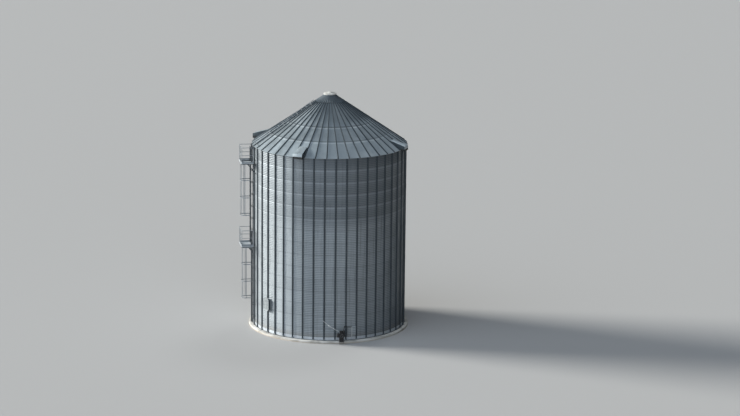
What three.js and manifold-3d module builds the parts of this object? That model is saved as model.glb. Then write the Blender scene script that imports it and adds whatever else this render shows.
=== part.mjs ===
// Grain silo: a round bin of corrugated galvanised steel on a concrete pad. Upright stiffeners
// outside the wall, a ribbed cone roof with a peak skirt, a fill lid and four vents, a side hatch
// with a hinged door, a caged ladder in stages with two rest platforms, a ladder up the roof, and
// an unload tube with its drive at the base.
// Millimetres, +Z up. The origin is the centre of the pad's underside, at ground level. The front
// faces -Y, and angles are measured from the front towards +X.

import * as THREE from 'three';
import { mergeVertices } from 'three/addons/utils/BufferGeometryUtils.js';
import Module from 'manifold-3d';

const wasm = await Module();
wasm.setup();

// Driving dimensions

const GAP = 0.3;                        // left between pieces that touch
const BIN_RADIUS = 5029;                // middle of the sheet, a 33 foot bin
const SHEET_DEPTH = 15;                 // corrugation and sheet together
const RING_HEIGHT = 812.8;              // one 32 inch ring of sheets
const RING_COUNT = 15;
const BAY_COUNT = 44;                   // stiffeners around the wall, and ribs on the roof
const SEGMENT_COUNT = 11;               // sheets in one ring
const FIRST_STIFFENER = degrees(-3.3);  // the stiffener just left of the front
const FIRST_RIB = degrees(-2);          // the roof stands a little round from the wall

const PAD_RADIUS = 5320;
const PAD_HEIGHT = 150;

const STIFFENER_BASE = 100;
const STIFFENER_TOP = 62;
const STIFFENER_DEPTH = 65;
const STIFFENER_STOP = 90;              // below the top of the wall

const ROOF_SLOPE = 0.67;                // rise over run, 34 degrees
const ROOF_THICKNESS = 15;              // measured upright
const EAVE_RADIUS = 5150;
const PANEL_INNER_RADIUS = 620;
const RIB_INNER_RADIUS = 965;
const RIB_HEIGHT = 60;
const RIB_WIDTH_AT_EAVE = 90;
const RIB_WIDTH_AT_PEAK = 44;
const RIB_CROWN = 0.6;                  // a rib's top over its foot

const SKIRT_RADIUS = 950;
const SKIRT_SLOPE = 0.8;                // a little steeper than the panels
const COLLAR_RADIUS = 385;
const COLLAR_HEIGHT = 77;
const LID_RADIUS = 427;
const LID_RISE = 110;

const VENT_BAYS = [8.5, 19.5, 30.5, 41.5];  // between two ribs, four around the roof
const VENT_SPREAD = 0.0606;                 // half width over distance from the centre
const VENT_BACK = 4400;
const VENT_MOUTH = 5430;
const VENT_LIP_HEIGHT = 205;                // above the top of the wall
const VENT_FLANGE = 180;                    // upright front, over a mouth that faces down
const VENT_SHEET = 12;
const THROAT_HALF_WIDTH = 150;
const THROAT_REACH = [4580, 4950];          // the hole in the panel, from the centre

const HATCH_STIFFENER = 38;
const HATCH_WALL_RINGS = 3;                 // the wall piece that the hatch is cut through
const HATCH_CENTRE_HEIGHT = 2065;
const HATCH_OPENING = [500, 750];
const HATCH_FRAME = [560, 810];
const HATCH_DOOR = [580, 850];
const HATCH_STAND_OFF = 140;                // frame front, out from the wall
const HATCH_DOOR_THICKNESS = 30;
const HINGE_X = 315;
const HINGE_RADIUS = 12;
const HINGE_HEIGHTS = [-260, 260];

const LADDER_BAY = 34.5;                    // the bay that the ladders stand on
const LADDER_SHIFT = 345;                   // each ladder, to its side of that bay's middle
const LADDER_WIDTH = 410;
const LADDER_STAND_OFF = 200;
const RAIL_THICKNESS = 16;
const RAIL_DEPTH = 50;
const RUNG_SPACING = 305;
const RUNG_RADIUS = 14;
const ROOF_LADDER_RIB = 35;
const ROOF_LADDER_SHIFT = -140;             // in line with the ladder below the eave
const PLATFORM_HEIGHTS = [5580, 11160];     // top of each deck
const PLATFORM_HALF_LENGTH = 650;
const PLATFORM_INNER = 5135;
const PLATFORM_OUTER = 5960;
const DECK_THICKNESS = 30;
const ARM_DEPTH = 45;
const ARM_WIDTH = 26;
const GUARD_HEIGHT = 1067;                  // 42 inches
const CAGE_HALF_WIDTH = 305;
const CAGE_DEPTH = 700;
const LOWER_CAGE_BOTTOM = 2030;
const UPPER_CAGE_BOTTOM = 7490;

const UNLOAD_BAY = 1.5;
const UNLOAD_HEIGHT = 600;
const UNLOAD_RADIUS = 110;
const UNLOAD_LENGTH = 330;
const HEAD_SIZE = [300, 240, 340];          // across, out from the wall, high
const MOTOR_RADIUS = 82;
const MOTOR_LENGTH = 270;
const COVER_BAY = 2.5;
const COVER_SIZE = [600, 650];
const COVER_BOTTOM = 430;

// Heights and angles worked out from them

const OUTER_RADIUS = BIN_RADIUS + SHEET_DEPTH / 2;
const INNER_RADIUS = BIN_RADIUS - SHEET_DEPTH / 2;
const WALL_BOTTOM = PAD_HEIGHT + GAP;
const WALL_TOP = WALL_BOTTOM + RING_COUNT * RING_HEIGHT;
const BAY = 2 * Math.PI / BAY_COUNT;
const BAYS_PER_SEGMENT = BAY_COUNT / SEGMENT_COUNT;
const ROOF_SEAT = 0.9;                      // clears the corners of the wall's top edge
const CLEAR = 200;                          // how far a cutter runs past what it cuts

function degrees(value) {
  return THREE.MathUtils.degToRad(value);
}

function bayAngle(bay) {
  return FIRST_STIFFENER + bay * BAY;
}

function ribAngle(bay) {
  return FIRST_RIB + bay * BAY;
}

function polar(angle, radius) {
  return [radius * Math.sin(angle), -radius * Math.cos(angle)];
}

function roofUnderside(radius) {
  return WALL_TOP + ROOF_SEAT + (OUTER_RADIUS - radius) * ROOF_SLOPE;
}

function roofTop(radius) {
  return roofUnderside(radius) + ROOF_THICKNESS;
}

function numbered(name, position) {
  return `${name}_${String(position + 1).padStart(2, '0')}`;
}

// Solids, cuts and joins

function closed(geometry) {
  const bare = geometry.index ? geometry.toNonIndexed() : geometry.clone();
  bare.deleteAttribute('normal');
  bare.deleteAttribute('uv');
  return mergeVertices(bare, 0.005);
}

function solid(geometry) {
  const merged = closed(geometry);
  return new wasm.Manifold(new wasm.Mesh({
    numProp: 3,
    vertProperties: Float32Array.from(merged.attributes.position.array),
    triVerts: Uint32Array.from(merged.index.array),
  }));
}

function geometryOf(manifold) {
  const mesh = manifold.getMesh();
  const geometry = new THREE.BufferGeometry();
  geometry.setAttribute('position', new THREE.BufferAttribute(mesh.vertProperties, 3));
  geometry.setIndex(new THREE.BufferAttribute(mesh.triVerts, 1));
  return geometry;
}

function fuse(geometries) {
  return geometryOf(geometries.map(solid).reduce((whole, part) => whole.add(part)));
}

function cut(geometry, cutters) {
  const cutSolid = cutters.map(solid).reduce((whole, cutter) => whole.subtract(cutter), solid(geometry));
  return geometryOf(cutSolid);
}

function block(x, y, z) {
  const box = new THREE.BoxGeometry(x[1] - x[0], y[1] - y[0], z[1] - z[0]);
  return box.translate((x[0] + x[1]) / 2, (y[0] + y[1]) / 2, (z[0] + z[1]) / 2);
}

function span(middle, width) {
  return [middle - width / 2, middle + width / 2];
}

function prism(outline, bottom, top) {
  const shape = new THREE.Shape(outline.map(([x, y]) => new THREE.Vector2(x, y)));
  const body = new THREE.ExtrudeGeometry(shape, { depth: top - bottom, bevelEnabled: false });
  return body.translate(0, 0, bottom);
}

// Joins loops of points into one closed body. Each loop runs right-handed about the way it travels.
function loft(loops) {
  const size = loops[0].length;
  const last = (loops.length - 1) * size;
  const index = [];
  for (let start = 0; start < last; start += size) {
    for (let corner = 0; corner < size; corner++) {
      const here = start + corner;
      const next = start + (corner + 1) % size;
      index.push(here, next, next + size, here, next + size, here + size);
    }
  }
  for (let corner = 1; corner + 1 < size; corner++) {
    index.push(0, corner + 1, corner, last, last + corner, last + corner + 1);
  }
  const geometry = new THREE.BufferGeometry();
  geometry.setAttribute('position', new THREE.Float32BufferAttribute(loops.flat(2), 3));
  geometry.setIndex(index);
  return geometry;
}

function bar(start, end, radius, sides) {
  const from = new THREE.Vector3(...start);
  const along = new THREE.Vector3(...end).sub(from);
  const cylinder = new THREE.CylinderGeometry(radius, radius, along.length(), sides);
  const turn = new THREE.Quaternion().setFromUnitVectors(
    new THREE.Vector3(0, 1, 0), along.clone().normalize());
  return cylinder.applyQuaternion(turn).translate(...from.addScaledVector(along, 0.5).toArray());
}

function revolve(profile, segments, start) {
  const points = profile.map(([radius, height]) => new THREE.Vector2(radius, height));
  return new THREE.LatheGeometry(points, segments, start).rotateX(Math.PI / 2);
}

// The assembly

const silo = new THREE.Group();

function sideGroup(angle) {
  const group = new THREE.Group();
  group.rotation.z = angle;
  silo.add(group);
  return group;
}

function add(parent, name, geometry, colour, roughness, metalness) {
  const material = new THREE.MeshStandardMaterial({ color: colour, roughness, metalness });
  const mesh = new THREE.Mesh(geometry, material);
  mesh.name = name;
  parent.add(mesh);
}

function addGalvanised(parent, name, geometry) {
  add(parent, name, geometry, 0x9aa4aa, 0.5, 0.85);
}

// Concrete pad

const padBody = new THREE.CylinderGeometry(
  PAD_RADIUS, PAD_RADIUS, PAD_HEIGHT, 2 * BAY_COUNT, 1, false, FIRST_STIFFENER);
add(silo, 'concrete_pad', padBody.rotateX(Math.PI / 2).translate(0, 0, PAD_HEIGHT / 2), 0xb7b2a8, 0.9, 0);

// Wall: sheets with their corrugation as a plain thickness, and a hat-shaped stiffener in each bay

const stiffenerFoot = Math.asin(STIFFENER_BASE / 2 / OUTER_RADIUS) / BAY;
const stiffenerSink = 4;
const stiffenerTop = WALL_TOP - STIFFENER_STOP;

function wallAngles(segment, foot) {
  const first = segment * BAYS_PER_SEGMENT;
  const halfGap = GAP / 2 / OUTER_RADIUS / BAY;
  const bays = [first - 0.5 + halfGap];
  for (let bay = first; bay < first + BAYS_PER_SEGMENT; bay++) {
    bays.push(bay - 0.25, ...(foot ? [bay - foot, bay + foot] : [bay]), bay + 0.25, bay + 0.5);
  }
  bays[bays.length - 1] -= halfGap;
  return bays.map(bayAngle);
}

function wallBand(segment, innerRadius, outerRadius, bottom, top) {
  const outer = wallAngles(segment, stiffenerFoot).map((angle) => polar(angle, outerRadius));
  const inner = wallAngles(segment, 0).map((angle) => polar(angle, innerRadius));
  return prism([...outer, ...inner.reverse()], bottom, top);
}

function stiffener(bay, bottom, top) {
  const root = stiffenerSink - OUTER_RADIUS;
  const crown = -OUTER_RADIUS - STIFFENER_DEPTH;
  const outline = [
    [-STIFFENER_BASE / 2, root],
    [STIFFENER_BASE / 2, root],
    [STIFFENER_TOP / 2, crown],
    [-STIFFENER_TOP / 2, crown],
  ];
  return prism(outline, bottom, top).rotateZ(bayAngle(bay));
}

function wallPiece(segment, bottom, top) {
  const parts = [wallBand(segment, INNER_RADIUS, OUTER_RADIUS, bottom, top)];
  for (let post = 0; post < BAYS_PER_SEGMENT; post++) {
    parts.push(stiffener(segment * BAYS_PER_SEGMENT + post, bottom, Math.min(top, stiffenerTop)));
  }
  return fuse(parts);
}

const hatchAngle = bayAngle(HATCH_STIFFENER);
const hatchSegment = Math.floor(HATCH_STIFFENER / BAYS_PER_SEGMENT);
const hatchWallTop = WALL_BOTTOM + HATCH_WALL_RINGS * RING_HEIGHT;

for (let segment = 0; segment < SEGMENT_COUNT; segment++) {
  const bottom = segment === hatchSegment ? hatchWallTop + GAP : WALL_BOTTOM;
  addGalvanised(silo, numbered('wall_segment', segment), wallPiece(segment, bottom, WALL_TOP));
}

// The lowest rings of one segment are a piece of their own, with the hatch cut through it

const pastWall = [-OUTER_RADIUS - CLEAR, CLEAR - INNER_RADIUS];
const breakMargin = [40, 30];               // between the hatch frame and the cut stiffener

function hatchBlock([width, height], y) {
  return block(span(0, width), y, span(HATCH_CENTRE_HEIGHT, height));
}

const hatchCuts = [
  hatchBlock(HATCH_OPENING, pastWall),
  hatchBlock([STIFFENER_BASE + breakMargin[0], HATCH_FRAME[1] + breakMargin[1]],
    [pastWall[0], -OUTER_RADIUS]),
].map((cutter) => cutter.rotateZ(hatchAngle));
addGalvanised(silo, 'hatch_wall', cut(wallPiece(hatchSegment, WALL_BOTTOM, hatchWallTop), hatchCuts));

// Roof: cone panels with ribs, a rib for each stiffener

function panelPlate(segment) {
  const first = segment * BAYS_PER_SEGMENT - 0.25;
  const count = 4 * BAYS_PER_SEGMENT;
  const halfGap = GAP / PANEL_INNER_RADIUS / BAY;
  const loops = [];
  for (let step = 0; step <= count; step++) {
    const shift = step === 0 ? halfGap : step === count ? -halfGap : 0;
    const angle = ribAngle(first + step / 4 + shift);
    loops.push([
      [...polar(angle, PANEL_INNER_RADIUS), roofUnderside(PANEL_INNER_RADIUS)],
      [...polar(angle, PANEL_INNER_RADIUS), roofTop(PANEL_INNER_RADIUS)],
      [...polar(angle, EAVE_RADIUS), roofTop(EAVE_RADIUS)],
      [...polar(angle, EAVE_RADIUS), roofUnderside(EAVE_RADIUS)],
    ]);
  }
  return loft(loops);
}

function ribSection(radius, width) {
  const foot = roofTop(radius) - ROOF_THICKNESS / 2;
  const top = roofTop(radius) + RIB_HEIGHT;
  const half = width / 2;
  return [
    [-half, -radius, foot],
    [half, -radius, foot],
    [RIB_CROWN * half, -radius, top],
    [-RIB_CROWN * half, -radius, top],
  ];
}

function rib(bay) {
  const eaveSetBack = 5;
  return loft([
    ribSection(RIB_INNER_RADIUS, RIB_WIDTH_AT_PEAK),
    ribSection(EAVE_RADIUS - eaveSetBack, RIB_WIDTH_AT_EAVE),
  ]).rotateZ(ribAngle(bay));
}

function ventHole(bay) {
  const [inner, outer] = THROAT_REACH;
  const reach = [roofUnderside(EAVE_RADIUS), roofTop(inner) + CLEAR];
  return block(span(0, 2 * THROAT_HALF_WIDTH), [-outer, -inner], reach).rotateZ(ribAngle(bay));
}

for (let segment = 0; segment < SEGMENT_COUNT; segment++) {
  const parts = [panelPlate(segment)];
  for (let step = 0; step < BAYS_PER_SEGMENT; step++) {
    parts.push(rib(segment * BAYS_PER_SEGMENT + step));
  }
  const holes = VENT_BAYS
    .filter((bay) => Math.floor(bay / BAYS_PER_SEGMENT) === segment)
    .map(ventHole);
  add(silo, numbered('roof_sector', segment), cut(fuse(parts), holes), 0x8b969e, 0.5, 0.85);
}

// Peak: a plain cone skirt over the panels' upper ends, with an upright collar, and the fill lid

const skirtLift = 2.5;  // keeps the skirt's flats clear of the panels below
const skirtSheet = 14;
const collarSheet = 12;
const collarInside = COLLAR_RADIUS - collarSheet;
const skirtFoot = roofTop(SKIRT_RADIUS) + skirtLift;
const skirtHead = skirtFoot + (SKIRT_RADIUS - COLLAR_RADIUS) * SKIRT_SLOPE;
const collarFoot = skirtHead + collarSheet * SKIRT_SLOPE;
const collarTop = skirtHead + COLLAR_HEIGHT;
const skirtProfile = [
  [collarInside, collarFoot],
  [SKIRT_RADIUS, skirtFoot],
  [SKIRT_RADIUS, skirtFoot + skirtSheet],
  [COLLAR_RADIUS, skirtHead + skirtSheet],
  [COLLAR_RADIUS, collarTop],
  [collarInside, collarTop],
  [collarInside, collarFoot],
];
add(silo, 'peak_skirt', revolve(skirtProfile, BAY_COUNT, FIRST_RIB), 0x5f6a72, 0.55, 0.8);

const lidSheet = 10;
const lidRim = 70;
const lidSeat = collarTop + GAP;
const lidInside = LID_RADIUS - lidSheet;
const lidProfile = [
  [0, lidSeat + LID_RISE - lidSheet],
  [collarInside, lidSeat],
  [lidInside, lidSeat],
  [lidInside, lidSeat - lidRim],
  [LID_RADIUS, lidSeat - lidRim],
  [LID_RADIUS, lidSeat + lidSheet],
  [0, lidSeat + LID_RISE],
];
add(silo, 'fill_lid', revolve(lidProfile, BAY_COUNT, FIRST_RIB), 0xdcdad2, 0.5, 0.3);

// Roof vents: hoods over the hole in the panel, with an upright front and a mouth that faces down
// past the eave

const ventLip = WALL_TOP + VENT_LIP_HEIGHT;
const ventBackTop = roofTop(VENT_BACK) + 70;
const ventBackWall = 40;

function ventCover(distance) {
  const part = (distance - VENT_BACK) / (VENT_MOUTH - VENT_BACK);
  return ventBackTop + part * (ventLip - ventBackTop);
}

function ventBody(outline, inset) {
  return loft([-1, 1].map((side) => outline.map(([distance, height]) => (
    [side * (VENT_SPREAD * distance - inset), -distance, height]))));
}

const ventFoot = EAVE_RADIUS - 20;
const hoodOutline = [
  [VENT_BACK, roofTop(VENT_BACK) + 1],
  [VENT_BACK, ventBackTop],
  [VENT_MOUTH, ventLip],
  [VENT_MOUTH, ventLip - VENT_FLANGE],
  [ventFoot, roofTop(ventFoot * Math.hypot(1, VENT_SPREAD)) + GAP],
];
const hollowBack = VENT_BACK + ventBackWall;
const hollowFront = VENT_MOUTH - VENT_SHEET;
const hollowOutline = [
  [hollowBack, roofUnderside(hollowBack) - 20],
  [hollowBack, ventCover(hollowBack) - VENT_SHEET],
  [hollowFront, ventCover(hollowFront) - VENT_SHEET],
  [hollowFront, roofUnderside(hollowFront) - 20],
];

VENT_BAYS.forEach((bay, position) => {
  const hood = cut(ventBody(hoodOutline, 0), [ventBody(hollowOutline, VENT_SHEET)]);
  addGalvanised(sideGroup(ribAngle(bay)), `roof_vent_${position + 1}`, hood);
});

// Side hatch: a frame that stands out from the wall, and a door on two strap hinges

const hatchGroup = sideGroup(hatchAngle);
const frameFront = -OUTER_RADIUS - HATCH_STAND_OFF;
const doorBack = frameFront - 5;
const doorFront = doorBack - HATCH_DOOR_THICKNESS;
const hingeY = doorFront - 4;
const hingeMiddles = HINGE_HEIGHTS.map((height) => HATCH_CENTRE_HEIGHT + height);
const barrelHalf = 40;

function hingeLugs(height) {
  const thickness = 10;
  const root = HATCH_FRAME[0] / 2 - 5;
  const reach = [frameFront + 6, frameFront + 66];
  const outline = [
    [root, reach[1]],
    [HINGE_X + HINGE_RADIUS, reach[1]],
    [HINGE_X + HINGE_RADIUS, hingeY - HINGE_RADIUS],
    [HINGE_X - HINGE_RADIUS, hingeY - HINGE_RADIUS],
    [HINGE_X - HINGE_RADIUS, reach[0]],
    [root, reach[0]],
  ];
  const seat = height - barrelHalf - GAP;
  const head = height + barrelHalf + 2;
  return [prism(outline, seat - thickness, seat), prism(outline, head, head + thickness)];
}

const frameRing = cut(hatchBlock(HATCH_FRAME, [frameFront, CLEAR / 2 - INNER_RADIUS]), [
  hatchBlock(HATCH_OPENING, [frameFront - CLEAR, CLEAR - INNER_RADIUS]),
  wallBand(hatchSegment, INNER_RADIUS - CLEAR, OUTER_RADIUS + GAP, 0, WALL_TOP).rotateZ(-hatchAngle),
]);
addGalvanised(hatchGroup, 'hatch_frame', fuse([frameRing, ...hingeMiddles.flatMap(hingeLugs)]));

function strapHinge(height) {
  const strap = block([-HATCH_DOOR[0] / 4, HINGE_X], [doorFront - 8, doorFront + 2], span(height, 60));
  const ends = span(height, 2 * barrelHalf);
  return [strap, bar([HINGE_X, hingeY, ends[0]], [HINGE_X, hingeY, ends[1]], HINGE_RADIUS, 12)];
}

const doorPlate = hatchBlock(HATCH_DOOR, [doorFront, doorBack]);
const doorHandle = block(span(-220, 60), [doorFront - 45, doorFront + 2], span(HATCH_CENTRE_HEIGHT, 140));
addGalvanised(hatchGroup, 'hatch_door', fuse([doorPlate, doorHandle, ...hingeMiddles.flatMap(strapHinge)]));

// Ladders: two rails, rungs, and brackets to the wall at each ring

const ladderGroup = sideGroup(bayAngle(LADDER_BAY));
const ladderY = -OUTER_RADIUS - LADDER_STAND_OFF;
const ladderReach = 950;                    // above the deck that a ladder leads to
const endClear = 60;                        // no rung or bracket nearer to a ladder's end
const bracketHeight = 40;
const bracketRise = 0.75 * RING_HEIGHT;

function wallFaceAt(x, clearance) {
  return -Math.sqrt((OUTER_RADIUS + clearance) ** 2 - x * x);
}

function bracketAbove(height) {
  const rings = Math.ceil((height - WALL_BOTTOM - bracketRise) / RING_HEIGHT);
  return WALL_BOTTOM + bracketRise + rings * RING_HEIGHT;
}

function ladder(middle, bottom, top) {
  const parts = [];
  for (const side of [-1, 1]) {
    const width = span(middle + side * LADDER_WIDTH / 2, RAIL_THICKNESS);
    parts.push(block(width, span(ladderY, RAIL_DEPTH), [bottom, top]));
    const seat = wallFaceAt(Math.min(Math.abs(width[0]), Math.abs(width[1])), GAP);
    const lastBracket = Math.min(top, WALL_TOP) - endClear;
    for (let z = bracketAbove(bottom + endClear); z < lastBracket; z += RING_HEIGHT) {
      parts.push(block(width, [ladderY, seat], span(z, bracketHeight)));
    }
  }
  const [left, right] = span(middle, LADDER_WIDTH);
  for (let z = bottom + RUNG_SPACING; z < top - endClear; z += RUNG_SPACING) {
    parts.push(bar([left, ladderY, z], [right, ladderY, z], RUNG_RADIUS, 6));
  }
  return fuse(parts);
}

const [firstDeck, secondDeck] = PLATFORM_HEIGHTS;
addGalvanised(ladderGroup, 'lower_ladder', ladder(LADDER_SHIFT, PAD_HEIGHT + 130, firstDeck + ladderReach));
addGalvanised(ladderGroup, 'upper_ladder', ladder(-LADDER_SHIFT, firstDeck + GAP, secondDeck + ladderReach));
addGalvanised(ladderGroup, 'eave_ladder', ladder(LADDER_SHIFT, secondDeck + GAP, WALL_TOP + 100));

// Safety cages: flat hoops from rail to rail, with five upright straps inside them

const hoopSheet = 10;
const hoopHeight = 50;
const hoopCount = 4;
const hoopSteps = 8;
const strapWidth = 40;
const strapCount = 5;
const cageCentre = CAGE_HALF_WIDTH - CAGE_DEPTH;  // of a hoop's round end, out from the ladder

function hoopOutline(middle) {
  const railFace = LADDER_WIDTH / 2 + RAIL_THICKNESS / 2 + GAP;
  const inside = CAGE_HALF_WIDTH - hoopSheet;
  const arc = (radius) => Array.from({ length: hoopSteps + 1 }, (_, step) => {
    const angle = step * Math.PI / hoopSteps;
    return [radius * Math.cos(angle), cageCentre - radius * Math.sin(angle)];
  });
  const outline = [
    [railFace, hoopSheet / 2],
    [CAGE_HALF_WIDTH, hoopSheet / 2],
    ...arc(CAGE_HALF_WIDTH),
    [-CAGE_HALF_WIDTH, hoopSheet / 2],
    [-railFace, hoopSheet / 2],
    [-railFace, -hoopSheet / 2],
    [-inside, -hoopSheet / 2],
    ...arc(inside).reverse(),
    [inside, -hoopSheet / 2],
    [railFace, -hoopSheet / 2],
  ];
  return outline.map(([x, y]) => [middle + x, ladderY + y]);
}

function cage(middle, bottom, top) {
  const outline = hoopOutline(middle);
  const parts = [];
  for (let hoop = 0; hoop < hoopCount; hoop++) {
    const z = bottom + hoop * (top - hoopHeight - bottom) / (hoopCount - 1);
    parts.push(prism(outline, z, z + hoopHeight));
  }
  const strapFace = hoopSheet + 5 - CAGE_HALF_WIDTH;
  for (let strap = 0; strap < strapCount; strap++) {
    const turn = (strap - (strapCount - 1) / 2) * Math.PI / (strapCount - 1);
    const upright = block(span(0, strapWidth), [strapFace - 8, strapFace], [bottom, top]);
    parts.push(upright.rotateZ(turn).translate(middle, ladderY + cageCentre, 0));
  }
  return fuse(parts);
}

const [firstCageTop, secondCageTop] = PLATFORM_HEIGHTS.map((top) => top - DECK_THICKNESS - ARM_DEPTH - GAP);
addGalvanised(ladderGroup, 'lower_cage', cage(LADDER_SHIFT, LOWER_CAGE_BOTTOM, firstCageTop));
addGalvanised(ladderGroup, 'upper_cage', cage(-LADDER_SHIFT, UPPER_CAGE_BOTTOM, secondCageTop));

// Rest platforms: a deck with a way through for the ladder from below, on arms bolted to the wall

const wayWidth = 554;
const deckEdge = 40;                        // left across the way's outer end
const middleArm = 5;
const braceDrop = 700;
const braceDepth = 60;
const braceEnd = 430;                       // short of the deck's outer edge

function platform(deckTop, arrival) {
  const end = PLATFORM_HALF_LENGTH;
  const [wayNear, wayFar] = span(LADDER_SHIFT, wayWidth);
  const outline = [
    [-end, -PLATFORM_OUTER], [end, -PLATFORM_OUTER], [end, -PLATFORM_INNER],
    [wayFar, -PLATFORM_INNER], [wayFar, deckEdge - PLATFORM_OUTER],
    [wayNear, deckEdge - PLATFORM_OUTER], [wayNear, -PLATFORM_INNER],
    [-end, -PLATFORM_INNER],
  ].map(([x, y]) => [arrival * x, y]);
  const deckBottom = deckTop - DECK_THICKNESS;
  const armBottom = deckBottom - ARM_DEPTH;
  const parts = [prism(outline, deckBottom, deckTop)];
  const arms = [ARM_WIDTH / 2 - end, middleArm, end - ARM_WIDTH / 2];
  arms.forEach((middle, position) => {
    const width = span(arrival * middle, ARM_WIDTH);
    const nearest = middle * arrival < 0 ? Math.min(0, width[1]) : Math.max(0, width[0]);
    const seat = wallFaceAt(nearest, GAP);
    parts.push(block(width, [-PLATFORM_OUTER, seat], [armBottom, deckBottom + 2]));
    const underTheWay = position === arms.length - 1;
    if (!underTheWay) {
      const section = (y, z) => [
        [width[0], y, z], [width[1], y, z], [width[1], y, z + braceDepth], [width[0], y, z + braceDepth]];
      parts.push(loft([
        section(seat, deckBottom - braceDrop),
        section(braceEnd - PLATFORM_OUTER, armBottom + 40 - braceDepth),
      ]));
    }
  });
  return fuse(parts);
}

addGalvanised(ladderGroup, 'rest_platform_1', platform(firstDeck, 1));
addGalvanised(ladderGroup, 'rest_platform_2', platform(secondDeck, -1));

// Guard rails: posts on the deck, a top rail, a middle rail and a toe board on three sides

const postWidth = 36;
const postSetBack = 20;
const toeBoard = [100, 10];                 // high, thick

function guardRail(deckTop) {
  const x = PLATFORM_HALF_LENGTH - postSetBack;
  const outer = postSetBack - PLATFORM_OUTER;
  const inner = -PLATFORM_INNER - postSetBack;
  const seat = deckTop + GAP;
  const parts = [[-x, outer], [0, outer], [x, outer], [-x, inner], [x, inner]].map(([px, py]) => (
    block(span(px, postWidth), span(py, postWidth), [seat, seat + GUARD_HEIGHT])));
  const levels = [
    [seat + toeBoard[0] / 2, ...toeBoard],
    [seat + GUARD_HEIGHT / 2, postWidth, postWidth],
    [seat + GUARD_HEIGHT - postWidth / 2, postWidth, postWidth],
  ];
  for (const [middle, height, thickness] of levels) {
    parts.push(block([-x, x], span(outer, thickness), span(middle, height)));
    for (const side of [-x, x]) {
      parts.push(block(span(side, thickness), [outer, inner], span(middle, height)));
    }
  }
  return fuse(parts);
}

addGalvanised(ladderGroup, 'guard_rail_1', guardRail(firstDeck));
addGalvanised(ladderGroup, 'guard_rail_2', guardRail(secondDeck));

// Roof ladder: on cross bars that lie on a rib

function roofLadder() {
  const seat = RIB_HEIGHT + 2 * GAP;
  const crossWidth = 40;
  const crossHeight = 20;
  const crossSpacing = 925;
  const railHeight = 45;
  const railLow = seat + crossHeight - 3;
  const nearPeak = SKIRT_RADIUS + 60;
  const nearEave = EAVE_RADIUS - 60;
  const [left, right] = span(ROOF_LADDER_SHIFT, LADDER_WIDTH);
  const railSection = (middle, radius) => {
    const [near, far] = span(middle, RAIL_THICKNESS);
    const low = roofTop(radius) + railLow;
    return [[near, -radius, low], [far, -radius, low],
      [far, -radius, low + railHeight], [near, -radius, low + railHeight]];
  };
  const parts = [left, right].map((x) => loft([railSection(x, nearPeak), railSection(x, nearEave)]));
  for (let radius = nearEave - RUNG_SPACING / 2; radius > nearPeak; radius -= RUNG_SPACING) {
    const z = roofTop(radius) + railLow + railHeight / 2;
    parts.push(bar([left, -radius, z], [right, -radius, z], 12, 6));
  }
  for (let radius = nearEave - 90; radius > nearPeak; radius -= crossSpacing) {
    const reach = Math.max(radius * Math.tan(BAY), -left) + 20;
    const low = roofTop(radius - crossWidth / 2) + seat;
    parts.push(block([-reach, reach], span(-radius, crossWidth), [low, low + crossHeight]));
  }
  return fuse(parts);
}

addGalvanised(sideGroup(ribAngle(ROOF_LADDER_RIB)), 'roof_ladder', roofLadder());

// Unload tube at the base, and its head with the drive motor and the levers

const unloadGroup = sideGroup(bayAngle(UNLOAD_BAY));
const tubeStart = OUTER_RADIUS + GAP;
const tubeSheet = 8;
const flangeWidth = 45;
const tubeInside = UNLOAD_RADIUS - tubeSheet;
const tubeProfile = [
  [tubeInside, 0],
  [UNLOAD_RADIUS + flangeWidth, 0],
  [UNLOAD_RADIUS + flangeWidth, tubeSheet],
  [UNLOAD_RADIUS, tubeSheet],
  [UNLOAD_RADIUS, UNLOAD_LENGTH],
  [tubeInside, UNLOAD_LENGTH],
  [tubeInside, 0],
];
const tube = revolve(tubeProfile, 16, 0).rotateX(Math.PI / 2).translate(0, -tubeStart, UNLOAD_HEIGHT);
addGalvanised(unloadGroup, 'unload_tube', tube);

const headBack = -tubeStart - UNLOAD_LENGTH - GAP;
const headFront = headBack - HEAD_SIZE[1];
const [headBottom, headTop] = span(UNLOAD_HEIGHT, HEAD_SIZE[2]);

function headStand() {
  const footWidth = 50;
  const footHeight = 30;
  const apronSheet = 10;
  const apronFoot = 160;
  const depth = [headFront + 90, headFront + 140];
  const legs = [-1, 1].map((side) => (
    block(span(side * (HEAD_SIZE[0] - footWidth) / 2, footWidth), depth, [0, headBottom + 5])));
  const apron = block(span(0, HEAD_SIZE[0] - footWidth), [depth[0], depth[0] + apronSheet],
    [apronFoot, headBottom + 5]);
  return [...legs, apron, block(span(0, HEAD_SIZE[0]), depth, [0, footHeight])];
}

// The left lever ends in a thin rod that goes on upwards
function headLevers() {
  const y = headBack - 26;
  const root = headTop - 10;
  const left = [-845, y, 1280];
  return [
    bar([-60, y, root], left, 16, 8),
    bar(left, [-1210, y, 1610], 9, 6),
    bar([60, y, root], [360, y, headTop + 230], 16, 8),
  ];
}

// A belt guard stands at the right of the head, and the case of the adjuster at its left
function headSides() {
  const side = HEAD_SIZE[0] / 2 - 2;
  return [
    block([side, 214], [headFront + 10, headFront + 200], [500, 950]),
    block([-285, -side], [headFront + 60, headFront + 180], [480, 740]),
  ];
}

function driveMotor() {
  const y = headFront + MOTOR_RADIUS + 10;
  const z = headTop + MOTOR_RADIUS + 12;
  const [left, right] = span(0, MOTOR_LENGTH);
  const feet = block(span(0, 180), span(y, 120), [headTop - 2, z - MOTOR_RADIUS / 2]);
  return [feet, bar([left, y, z], [right, y, z], MOTOR_RADIUS, 16)];
}

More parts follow.
